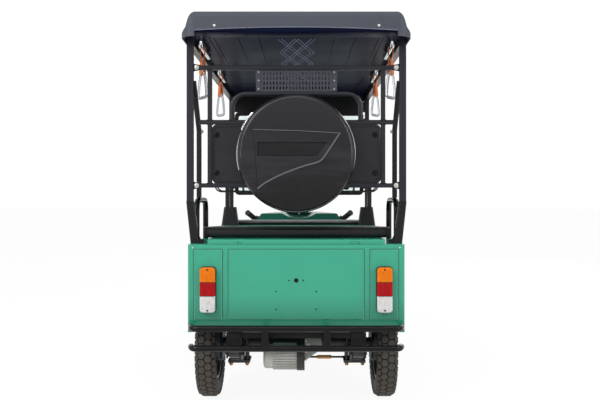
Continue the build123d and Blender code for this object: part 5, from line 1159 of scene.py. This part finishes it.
class RICKSHAW_OT_cushions(bpy.types.Operator):
    """Makes the four vinyl pads: slabs that are blown up as cloth and then smoothed."""

    bl_idname = "rickshaw.cushions"
    bl_label = "Seat Cushions"

    def execute(self, context):
        for pad in PADS:
            self.pad(*pad, context.scene.rickshaw_sizes)
        return {"FINISHED"}

    def pad(self, node, edge, drop, cap, sizes):
        """One pad: a rounded slab that stops short of its space by drop, then swells by up to cap."""
        low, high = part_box(node)
        bm = bmesh.new()
        lying = high.z - low.z < high.y - low.y
        inset = Vector((0.004, 0.004, 0.0)) if lying else Vector((0.010, 0.0, 0.010))
        start, end = low + inset, high - inset
        if lying:
            start.z, end.z = low.z + 0.001, high.z - drop
        else:
            start.y, end.y = low.y + 0.012, high.y - 0.001
        add_box(bm, start, end, edge * 0.55, 4)
        mesh = bpy.data.meshes.new(f"{node}_pad")
        bm.to_mesh(mesh)
        bm.free()
        pad = bpy.data.objects.new(f"{node}_pad", mesh)
        bpy.context.scene.collection.objects.link(pad)
        remesh = pad.modifiers.new("cells", "REMESH")
        remesh.mode = "VOXEL"
        remesh.voxel_size = sizes.voxel
        self.apply(pad)
        self.swell(pad, low, high, lying, cap)
        finer = pad.modifiers.new("smooth", "SUBSURF")
        finer.levels = finer.render_levels = 1
        self.apply(pad)
        if node == "rear_cushion":
            # The seat falls a little towards its front edge.
            for vert in pad.data.vertices:
                share = (vert.co.y - low.y) / (high.y - low.y)
                vert.co.z -= 0.017 * share * (vert.co.z - low.z) / (high.z - low.z - 0.020)
        for face in pad.data.polygons:
            face.use_smooth = True
        pad.data.materials.clear()
        pad.data.materials.append(finishes["vinyl"])
        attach(pad, "root")
        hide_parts(node)

    def apply(self, made):
        """Leave a piece's modifiers in its mesh."""
        graph = bpy.context.evaluated_depsgraph_get()
        mesh = bpy.data.meshes.new_from_object(made.evaluated_get(graph))
        made.modifiers.clear()
        made.data = mesh

    def swell(self, pad, low, high, lying, cap):
        """Blow the pad up as cloth and keep each point near its start and inside the box."""
        start = [vert.co.copy() for vert in pad.data.vertices]
        cloth = pad.modifiers.new("swell", "CLOTH")
        cloth.settings.use_pressure = True
        cloth.settings.uniform_pressure_force = 4.0
        cloth.settings.quality = 4
        cloth.settings.mass = 0.35
        cloth.settings.effector_weights.gravity = 0.0
        cloth.point_cache.frame_start = 1
        cloth.point_cache.frame_end = SWELL_FRAMES
        scene = bpy.context.scene
        for number in range(1, SWELL_FRAMES + 1):
            scene.frame_set(number)
        graph = bpy.context.evaluated_depsgraph_get()
        moved = [vert.co.copy() for vert in pad.evaluated_get(graph).data.vertices]
        pad.modifiers.clear()
        scene.frame_set(1)
        back = low.z + 0.0008 if lying else high.y - 0.0008
        for vert, first, last in zip(pad.data.vertices, start, moved):
            shift = last - first
            if shift.length > cap:
                shift *= cap / shift.length
            place = first + shift
            place.x = min(max(place.x, low.x + 0.001), high.x - 0.001)
            if lying:
                place.z = max(place.z, back)
                place.y = min(max(place.y, low.y + 0.001), high.y - 0.001)
            else:
                place.y = min(place.y, back)
                place.z = min(max(place.z, low.z + 0.001), high.z - 0.001)
            vert.co = place


class RICKSHAW_OT_seat_piping(bpy.types.Operator):
    """Lays piping round the edges of the cushions and the backrests."""

    bl_idname = "rickshaw.seat_piping"
    bl_label = "Seat Piping"

    def execute(self, context):
        sizes = context.scene.rickshaw_sizes
        radius = sizes.piping / 2
        for node, rear, front in (("rear_cushion", 0.812, 0.795), ("driver_cushion", 0.790, 0.790)):
            low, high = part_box(node)
            bm = bmesh.new()
            middle, size = (low + high) / 2, high - low
            outline = rounded_outline(size.x - 0.012, size.y - 0.012, 0.028, 8)
            edge = []
            for x, y in outline:
                share = y / size.y + 0.5
                edge.append((middle.x + x, middle.y + y, rear + (front - rear) * share))
            add_tube(bm, edge, radius, 8, closed=True)
            piece(f"{node}_piping", bm, "piping")
        for node in ("rear_backrest", "driver_backrest"):
            low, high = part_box(node)
            bm = bmesh.new()
            add_border(bm, node, high.y - 0.004, 0.005, 0.030, radius)
            add_border(bm, node, low.y + 0.014, 0.002, 0.030, radius)
            piece(f"{node}_piping", bm, "piping")
        return {"FINISHED"}


# ---- Straps -------------------------------------------------------------------
STRAP_Y = (-1.125, -0.415)
GRAB_X, GRAB_Z = 0.436, 1.638
GRIP_TOP = 1.5252
# How far below the rail the loop is drawn in, and by how much on each side.
STRAP_WAIST = ((0.022, 0.0098), (0.045, 0.0070), (0.070, 0.0066), (0.092, 0.0082))


class RICKSHAW_OT_straps(bpy.types.Operator):
    """Hooks woven loops over the grab rails, each with a clear grip hanging in it."""

    bl_idname = "rickshaw.straps"
    bl_label = "Hand Straps"

    def execute(self, context):
        loops, threads, grips = bmesh.new(), bmesh.new(), bmesh.new()
        for side in (-1, 1):
            for y in STRAP_Y:
                self.strap(loops, side * GRAB_X, y)
                self.stitches(threads, side * GRAB_X, y)
                self.grip(grips, side * GRAB_X, y)
        for bm in (loops, threads, grips):
            self.twist(bm)
        piece("strap_webbing", loops, "webbing", replaced=("strap_loops",))
        piece("strap_threads", threads, "thread")
        piece("strap_handles", grips, "grip plastic", angle=60,
              replaced=("strap_grips",))
        return {"FINISHED"}

    def twist(self, bm):
        """Turn each strap below its rail, so that its grip hangs askew."""
        for vert in bm.verts:
            side = 1 if vert.co.x > 0 else -1
            near = min(STRAP_Y, key=lambda y: abs(vert.co.y - y))
            share = min(max((GRAB_Z - 0.012 - vert.co.z) / 0.07, 0.0), 1.0)
            share = share * share * (3 - 2 * share)
            turn = Matrix.Rotation(math.radians(-38) * side * share, 3, "Z")
            foot = Vector((side * GRAB_X, near, 0))
            vert.co = foot + turn @ (vert.co - foot)

    def strap(self, bm, x, y):
        """A flat loop that hugs the rail above and the grip's bar below, drawn in between."""
        run = []
        for step in range(13):
            angle = math.pi * step / 12
            run.append((x + 0.0122 * math.cos(angle), y, GRAB_Z + 0.0122 * math.sin(angle)))
        for drop, half in STRAP_WAIST:
            run.append((x - half, y, GRAB_Z - drop))
        for step in range(9):
            angle = math.pi * (1 + step / 8)
            run.append((x + 0.0104 * math.cos(angle), y, GRIP_TOP + 0.001 + 0.0104 * math.sin(angle)))
        for drop, half in reversed(STRAP_WAIST):
            run.append((x + half, y, GRAB_Z - drop))
        add_strip(bm, run, Y, 0.0255, 0.0028, closed=True)
        # The overlap where the strap is sewn to itself.
        lap = [(x - 0.0095, y, GRAB_Z - 0.030), (x - 0.0088, y, GRAB_Z - 0.045),
               (x - 0.0086, y, GRAB_Z - 0.062)]
        add_strip(bm, lap, Y, 0.0250, 0.0022)

    def stitches(self, bm, x, y):
        """A sewn box with its cross on the overlap."""
        corners = [(-0.009, 0.0), (0.009, 0.0), (0.009, -0.024), (-0.009, -0.024)]
        lines = list(zip(corners, corners[1:] + corners[:1])) + [(corners[0], corners[2]),
                                                                 (corners[1], corners[3])]
        for first, second in lines:
            for step in range(7):
                start, end = step / 7, (step + 0.6) / 7
                ends = [(x - 0.0106, y + first[0] + (second[0] - first[0]) * share,
                         GRAB_Z - 0.034 + first[1] + (second[1] - first[1]) * share)
                        for share in (start, end)]
                add_round(bm, ends[0], ends[1], 0.0005, 4)

    def grip(self, bm, x, y):
        """A moulded ring with a wide lower bar and finger grooves."""
        corners = [(-0.0200, 0.0), (0.0200, 0.0), (0.0418, -0.1140), (-0.0418, -0.1140)]
        corners = [(x, y + across, GRIP_TOP + up) for across, up in self.rounded(corners)]
        run = smooth_run(corners, 2, closed=True)
        add_tube(bm, run, 0.0068, 12, closed=True)
        for step in range(7):
            at = y - 0.024 + 0.008 * step
            add_round(bm, (x, at - 0.0026, GRIP_TOP - 0.1140), (x, at + 0.0026, GRIP_TOP - 0.1140),
                      0.0078, 16, 0.001)

    def rounded(self, corners):
        """Corners eased so that the ring's bends are wide."""
        eased = []
        for index, corner in enumerate(corners):
            before, after = Vector(corners[index - 1]), Vector(corners[(index + 1) % len(corners)])
            corner = Vector(corner)
            eased += [corner + (before - corner).normalized() * 0.012,
                      corner + (after - corner).normalized() * 0.012]
        return eased


# ---- Tail ---------------------------------------------------------------------
class RICKSHAW_OT_tail_trim(bpy.types.Operator):
    """Finishes the tail: the lock, the screws, the lid's seal, and the painted shade and painted highlights
    along the creases of its fields.
    """

    bl_idname = "rickshaw.tail_trim"
    bl_label = "Tail Trim"

    def execute(self, context):
        back, face = TAIL_BACK, TAIL_FACE
        bm = bmesh.new()
        add_tube(bm, ring_points((0, face + 0.0005, LOCK_Z), 0.0108, Y, 32), 0.0018, 8, closed=True)
        piece("lock_rim", bm, "rubber")
        bm = bmesh.new()
        add_round(bm, (0, face + 0.004, LOCK_Z), (0, face + 0.014, LOCK_Z), 0.0096, 32, 0.001)
        add_box(bm, (-0.0012, face + 0.0028, 0.5815), (0.0012, face + 0.0052, 0.5925), 0.0003)
        piece("lock_barrel", bm, "dark")

        bm = bmesh.new()
        add_screws(bm, (-0.368, 0.366), back + 0.004, (0.700,), 0.0048, 0.0024)
        add_screws(bm, (-0.452, 0.452), back + 0.004, (0.730,), 0.0048, 0.0024)
        piece("tail_screws", bm, "zinc")
        bm = bmesh.new()
        add_screws(bm, LOCK_SCREWS_X, face, (LOCK_Z,), 0.0046, 0.0022)
        add_screws(bm, PLATE_HOLES_X, face, PLATE_HOLES_Z, 0.0042, 0.0020)
        piece("plate_screws", bm, "black plastic")

        # The lid's joint with the tail is a dark line under the lid's lip.
        bm = bmesh.new()
        low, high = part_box("seat_lid")
        add_box(bm, (low.x + 0.010, low.y - 0.0012, low.z - 0.0015),
                (high.x - 0.010, low.y + 0.004, low.z + 0.0012), 0.0008)
        piece("lid_seal", bm, "rubber")

        bm = bmesh.new()
        for start, end in ((-0.2580, -0.2420), (0.2360, 0.2780)):
            add_box(bm, (start, low.y + 0.0022, low.z - 0.001), (end, low.y + 0.0060, low.z + 0.0135), 0.0006)
        piece("lid_tabs", bm, "body paint")

        # Each raised field of the tail has a painted shade as a dark crease at its foot and a painted
        # highlight as a lit edge beside it.
        creases, edges = bmesh.new(), bmesh.new()
        for start, end in ((-0.445, -0.324), (-0.295, 0.295), (0.324, 0.445)):
            for bm, grow, depth, wide in ((creases, 0.0022, 0.0003, 0.0030),
                                          (edges, -0.0016, 0.0004, 0.0016)):
                x0, x1, z0, z1 = start - grow, end + grow, 0.4150, 0.7210 + grow
                face_y = face if grow > 0 else back
                for low_corner, high_corner in (
                    ((x0 - wide / 2, z0), (x0 + wide / 2, z1)), ((x1 - wide / 2, z0), (x1 + wide / 2, z1)),
                    ((x0, z1 - wide / 2), (x1, z1 + wide / 2)),
                ):
                    add_box(bm, (low_corner[0], face_y - depth, low_corner[1]),
                            (high_corner[0], face_y + 0.0008, high_corner[1]), 0.0)
        piece("tail_crease_shade", creases, "paint crease")
        piece("tail_edge_highlight", edges, "paint edge")
        return {"FINISHED"}


class RICKSHAW_OT_tail_lamps(bpy.types.Operator):
    """Makes the two tail lamps: a black base, and a ribbed lens in three colours."""

    bl_idname = "rickshaw.tail_lamps"
    bl_label = "Tail Lamps"

    def execute(self, context):
        bases, lenses, screws, shades = bmesh.new(), bmesh.new(), bmesh.new(), bmesh.new()
        for side in (-1, 1):
            at = Vector((side * 0.384, TAIL_BACK, 0.548))
            add_plate(bases, rounded_outline(0.072, 0.201, 0.017), at, X, Z, 0.0105, 0.002)
            lens = rounded_outline(0.0675, 0.1965, 0.0145, 6)
            add_plate(lenses, lens, at - Y * 0.010, X, Z, 0.0195, 0.0065, 4)
            for drop in (0.034, -0.026):
                add_box(shades, at + Vector((-0.0312, -0.0312, drop - 0.0010)),
                        at + Vector((0.0312, -0.0250, drop + 0.0010)), 0.0004)
            for step in range(9):
                x = at.x - 0.024 + step * 0.006
                add_round(lenses, (x, at.y - 0.0292, at.z - 0.086), (x, at.y - 0.0292, at.z + 0.086),
                          0.0016, 6)
            for end in (-1, 1):
                add_screw(screws, at + Vector((0, -0.0292, end * 0.0880)), -Y, 0.0048, 0.0028)
        piece("lamp_bases", bases, "black plastic")
        piece("lamp_lenses", lenses, "lamp bands", angle=50, replaced=("tail_lamps",))
        piece("lamp_screws", screws, "dark")
        piece("lamp_dividers", shades, "dark")
        return {"FINISHED"}


class RICKSHAW_OT_bumper_trim(bpy.types.Operator):
    """Caps the bumper's tubes and bolts its posts to their brackets."""

    bl_idname = "rickshaw.bumper_trim"
    bl_label = "Bumper Trim"

    def execute(self, context):
        bm = bmesh.new()
        for z in (0.302, 0.387):
            for side in (-1, 1):
                out = Vector((side * 12, 38, 0)).normalized()
                tip = Vector((side * 0.455, -1.376 + 0.038, z))
                add_round(bm, tip - out * 0.004, tip + out * 0.0025, 0.0136, 24, 0.0015)
        piece("bumper_caps", bm, "rubber")
        bm = bmesh.new()
        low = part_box("rear_bumper")[0]
        for side in (-1, 1):
            for z in (0.330, 0.359):
                add_bolt(bm, (side * 0.133, low.y + 0.0030, z), -Y, 0.011, 0.004, 0.0085)
        piece("bumper_bolts", bm, "gloss black")
        return {"FINISHED"}


# ---- Underside ----------------------------------------------------------------
class RICKSHAW_OT_underside(bpy.types.Operator):
    """Bolts, nuts and bushings on the springs, the axle and the motor."""

    bl_idname = "rickshaw.underside"
    bl_label = "Axle and Spring Fittings"

    def execute(self, context):
        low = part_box("spring_clamps")[0]
        bm = bmesh.new()
        for side in (-1, 1):
            for leg in (-0.038, 0.038):
                for end in (-0.036, 0.036):
                    at = Vector((side * SPRING_X + leg, AXLE_Y + end, low.z + 0.002))
                    add_round(bm, at + Z * 0.002, at + Z * 0.0115, 0.0105, 6, 0.001)
                    add_round(bm, at - Z * 0.0015, at + Z * 0.012, 0.0058, 16, 0.0008)
        piece("clamp_nuts", bm, "brass bolt")

        bm = bmesh.new()
        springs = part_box("leaf_springs")
        for side in (-1, 1):
            for y in (springs[0].y + 0.014, springs[1].y - 0.014):
                for face in (-1, 1):
                    x = side * SPRING_X + face * 0.0256
                    add_round(bm, (x, y, springs[1].z - 0.014), (x + face * 0.002, y, springs[1].z - 0.014),
                              0.0125, 24, 0.0008)
        piece("spring_bushes", bm, "rubber")

        # Bolts round the gear case and the motor's end plate.
        bm = bmesh.new()
        centre = Vector((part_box("motor")[0].x, -1.074, 0.203))
        for step in range(6):
            angle = 2 * math.pi * (step + 0.5) / 6
            place = centre + Vector((0.0452, math.cos(angle) * 0.051, math.sin(angle) * 0.051))
            add_bolt(bm, place, -X, 0.009, 0.004, 0.0065)
        piece("motor_bolts", bm, "zinc")

        # Cover bolts round the gear housing's front edge and its drain plug.
        bm = bmesh.new()
        for step in range(10):
            angle = 2 * math.pi * (step + 0.5) / 10
            outward = Vector((0, math.cos(angle), math.sin(angle)))
            place = Vector((0.0425, AXLE_Y, WHEEL_Z)) + outward * 0.0838
            if place.z < 0.31 and place.y < -0.955:
                add_bolt(bm, place - outward * 0.001, outward, 0.011, 0.005, 0.008)
        add_bolt(bm, (0.052, -1.0730, 0.250), -Y, 0.018, 0.006, 0.012)
        piece("gear_housing_bolts", bm, "zinc")

        # The brake's cross rod, from the gear housing to the right spring, with its sleeve.
        bm = bmesh.new()
        rod_z = 0.180
        add_round(bm, (0.062, AXLE_Y, rod_z), (0.2515, AXLE_Y, rod_z), 0.0048, 16, 0.0005)
        add_round(bm, (0.236, AXLE_Y, rod_z), (0.2505, AXLE_Y, rod_z), 0.0095, 6, 0.001)
        piece("brake_rod", bm, "axle paint")
        bm = bmesh.new()
        add_round(bm, (0.100, AXLE_Y, rod_z), (0.166, AXLE_Y, rod_z), 0.0088, 20, 0.0012)
        add_round(bm, (0.094, AXLE_Y, rod_z), (0.101, AXLE_Y, rod_z), 0.0072, 20, 0.0008)
        piece("rod_sleeve", bm, "brass bolt")
        return {"FINISHED"}


# ---- Windshield and front -----------------------------------------------------
class RICKSHAW_OT_windshield_trim(bpy.types.Operator):
    """Seats the glass in a rubber channel and gives the wiper its rubber, nut and screws."""

    bl_idname = "rickshaw.windshield_trim"
    bl_label = "Windshield Trim"

    def execute(self, context):
        low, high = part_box("windshield_glass")
        bm = bmesh.new()
        for y in (low.y - 0.0012, high.y + 0.0012):
            add_border(bm, "windshield_glass", y, 0.002, 0.018, 0.0042)
        piece("glass_channel", bm, "rubber")

        bm = bmesh.new()
        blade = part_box("wiper")
        add_box(bm, (-0.328, high.y + 0.0006, 1.5075), (-0.072, high.y + 0.0050, 1.5145), 0.0012)
        piece("wiper_rubber", bm, "rubber")
        bm = bmesh.new()
        add_round(bm, (0, blade[1].y - 0.001, 1.538), (0, blade[1].y + 0.0045, 1.538), 0.0088, 6, 0.001)
        add_screw(bm, (-0.2, blade[1].y - 0.0048, 1.511), Y, 0.0038, 0.002)
        add_screws(bm, (-0.034, 0.034), blade[0].y, (1.523, 1.553), 0.0035, 0.002)
        piece("wiper_fixings", bm, "zinc")

        bm = bmesh.new()
        frame_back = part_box("windshield_frame")[0].y
        add_screws(bm, (-0.452, 0.452), frame_back + 0.0002, (1.00, 1.28, 1.52, 1.62), 0.005, 0.0025)
        piece("screen_screws", bm, "zinc")
        return {"FINISHED"}


class RICKSHAW_OT_front_trim(bpy.types.Operator):
    """Rims the headlamp and the indicators, ribs the headlamp and screws the nose to its frame."""

    bl_idname = "rickshaw.front_trim"
    bl_label = "Front Trim"

    def execute(self, context):
        low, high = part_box("headlamp")
        middle, size = (low + high) / 2, high - low
        bm = bmesh.new()
        add_border(bm, "headlamp", low.y + 0.005, -0.0015, 0.030, 0.0042, 8)
        piece("headlamp_rim", bm, "chrome", "steering")
        bm = bmesh.new()
        for step in range(11):
            x = middle.x + (step - 5) * 0.0125
            foot = Vector((x, high.y - 0.0006, middle.z))
            half = Z * (size.z / 2 - (0.012 if abs(step - 5) < 5 else 0.022))
            add_round(bm, foot - half, foot + half, 0.0016, 8)
        piece("headlamp_ribs", bm, "clear lens", "steering")

        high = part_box("front_indicators")[1]
        bm = bmesh.new()
        lean = Vector((0, 0.9434, 0.3317)).normalized()
        for side in (-1, 1):
            centre = Vector((side * 0.330, high.y - 0.0135, 0.6285))
            add_tube(bm, ring_points(centre - lean * 0.0165, 0.0330, lean, 40), 0.0028, 8, closed=True)
        piece("indicator_rims", bm, "black plastic")

        bm = bmesh.new()
        for z in (0.40, 0.52, 0.66):
            # The shield leans forward as it rises.
            y = 0.623 + 0.146 * (z - 0.363) / 0.353
            add_screws(bm, (-0.430, 0.430), y - 0.0055, (z,), 0.0048, 0.0024)
        piece("shield_screws", bm, "zinc")
        return {"FINISHED"}


# ---- Cab ----------------------------------------------------------------------
class RICKSHAW_OT_controls(bpy.types.Operator):
    """Adds the switch clusters, brake levers, throttle collar and the dashboard's gauge."""

    bl_idname = "rickshaw.controls"
    bl_label = "Controls"

    def execute(self, context):
        clusters, levers, ridges = bmesh.new(), bmesh.new(), bmesh.new()
        for side in (-1, 1):
            start, end = Vector((side * 0.298, 0.577, 0.789)), Vector((side * 0.352, 0.4837, 0.840))
            run = (end - start).normalized()
            inner = start - run * 0.004
            add_round(clusters, inner - run * 0.012, inner + run * 0.020, 0.0215, 24, 0.003)
            add_box(clusters, inner + Vector((-0.014, -0.012, 0.010)), inner + Vector((0.014, 0.014, 0.030)),
                    0.004, 3)
            add_round(clusters, inner + Vector((-0.005, 0, 0.028)), inner + Vector((-0.005, 0, 0.033)),
                      0.005, 16, 0.001)
            lever = smooth_run([inner + Vector((side * -0.004, 0.020, -0.004)),
                                inner + Vector((side * 0.010, 0.036, 0.004)),
                                inner + Vector((side * 0.038, 0.006, 0.028)),
                                inner + Vector((side * 0.060, -0.046, 0.052))])
            add_tube(levers, lever, 0.0048, 10)
            for step in range(9):
                at = start + run * (0.036 + 0.009 * step)
                add_tube(ridges, ring_points(at, 0.0167, run, 24), 0.0014, 6, closed=True)
        piece("switch_clusters", clusters, "black plastic", "steering")
        piece("brake_levers", levers, "chrome", "steering")
        piece("grip_ridges", ridges, "rubber", "steering")

        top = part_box("nacelle")[1].z
        bm = bmesh.new()
        add_plate(bm, rounded_outline(0.130, 0.070, 0.012), (0, 0.660, top - 0.002), X, Y, 0.0060, 0.002)
        piece("gauge_case", bm, "black plastic", "steering")
        bm = bmesh.new()
        add_plate(bm, rounded_outline(0.108, 0.050, 0.008), (0, 0.660, top + 0.0036), X, Y, 0.0012, 0.0005)
        piece("gauge_glass", bm, "gloss black", "steering")
        return {"FINISHED"}


class RICKSHAW_OT_cab_trim(bpy.types.Operator):
    """Trims the cab: floor ribs and edge strips, seat-box hatch, battery handles and pedal rubber."""

    bl_idname = "rickshaw.cab_trim"
    bl_label = "Cab Trim"

    def execute(self, context):
        floor_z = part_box("floor_pan")[1].z
        bm = bmesh.new()
        for step in range(23):
            x = -0.44 + 0.04 * step
            add_box(bm, (x - 0.004, -0.62, floor_z - 0.0006), (x + 0.004, -0.155, floor_z + 0.0016), 0.0008)
        piece("floor_ribs", bm, "floor mat")
        bm = bmesh.new()
        for side in (-1, 1):
            x = side * 0.486
            add_box(bm, (x - 0.012, -0.640, floor_z - 0.0006), (x + 0.012, -0.150, floor_z + 0.0024), 0.001)
            for y in (-0.60, -0.44, -0.28, -0.18):
                add_screw(bm, (x, y, floor_z + 0.002), Z, 0.004, 0.002)
        piece("floor_edges", bm, "zinc")

        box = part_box("driver_seat_box")
        bm = bmesh.new()
        for side in (-1, 1):
            x = side * (box[1].x + 0.0002)
            outline = rounded_outline(0.20, 0.18, 0.02)
            add_tube(bm, [(x, 0.075 + across, 0.58 + up) for across, up in outline], 0.0016, 6, closed=True)
            add_box(bm, (x - 0.003, 0.062, 0.648), (x + 0.003, 0.088, 0.660), 0.0015)
        piece("hatch_trim", bm, "black plastic")

        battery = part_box("battery_pack")
        bm = bmesh.new()
        middle = (battery[0] + battery[1]) / 2
        for side in (-1, 1):
            x = middle.x + side * (battery[1].x - battery[0].x) * 0.25
            top = Vector((x, middle.y, battery[1].z))
            run = smooth_run([top - X * 0.05 - Z * 0.002, top - X * 0.045 + Z * 0.014,
                              top + X * 0.045 + Z * 0.014, top + X * 0.05 - Z * 0.002])
            add_tube(bm, run, 0.0045, 8)
        piece("battery_handles", bm, "rubber")

        bm = bmesh.new()
        along = Vector((0, 0.4226, 0.906)).normalized()
        slope = Vector((0, -along.z, along.y))
        centre = Vector((0.150, 0.575, 0.481)) + slope * 0.0060
        for step in range(5):
            at = centre + along * (step - 2) * 0.0075
            add_round(bm, at - X * 0.024, at + X * 0.024, 0.0019, 8, 0.0005)
        piece("pedal_rubber", bm, "rubber")
        return {"FINISHED"}


# ---- Panel and registration ---------------------------------------------------
PIECES = (
    RICKSHAW_OT_stage, RICKSHAW_OT_finishes, RICKSHAW_OT_roof_trim, RICKSHAW_OT_lining,
    RICKSHAW_OT_frame_fixings, RICKSHAW_OT_spare_band, RICKSHAW_OT_tyres, RICKSHAW_OT_wheels,
    RICKSHAW_OT_cushions, RICKSHAW_OT_seat_piping, RICKSHAW_OT_straps, RICKSHAW_OT_tail_trim,
    RICKSHAW_OT_tail_lamps, RICKSHAW_OT_bumper_trim, RICKSHAW_OT_underside,
    RICKSHAW_OT_windshield_trim, RICKSHAW_OT_front_trim, RICKSHAW_OT_controls, RICKSHAW_OT_cab_trim,
)


class RICKSHAW_PT_panel(bpy.types.Panel):
    """Lists the rickshaw's pieces with their colours and sizes."""

    bl_idname = "RICKSHAW_PT_panel"
    bl_label = "Passenger Rickshaw"
    bl_space_type = "VIEW_3D"
    bl_region_type = "UI"
    bl_category = "Rickshaw"

    def draw(self, context):
        column = self.layout.column(align=True)
        for operator in PIECES:
            column.operator(operator.bl_idname)
        for settings in (context.scene.rickshaw_colours, context.scene.rickshaw_sizes):
            column = self.layout.column(align=True)
            for name in settings.__annotations__:
                column.prop(settings, name)


CLASSES = (RickshawColours, RickshawSizes, *PIECES, RICKSHAW_PT_panel)


def register():
    for item in CLASSES:
        bpy.utils.register_class(item)
    bpy.types.Scene.rickshaw_colours = bpy.props.PointerProperty(type=RickshawColours)
    bpy.types.Scene.rickshaw_sizes = bpy.props.PointerProperty(type=RickshawSizes)


def unregister():
    del bpy.types.Scene.rickshaw_sizes
    del bpy.types.Scene.rickshaw_colours
    for item in reversed(CLASSES):
        bpy.utils.unregister_class(item)


def main():
    """Run every operator in order."""
    register()
    for operator in PIECES:
        group, name = operator.bl_idname.split(".")
        getattr(getattr(bpy.ops, group), name)()


if __name__ == "__main__":
    main()
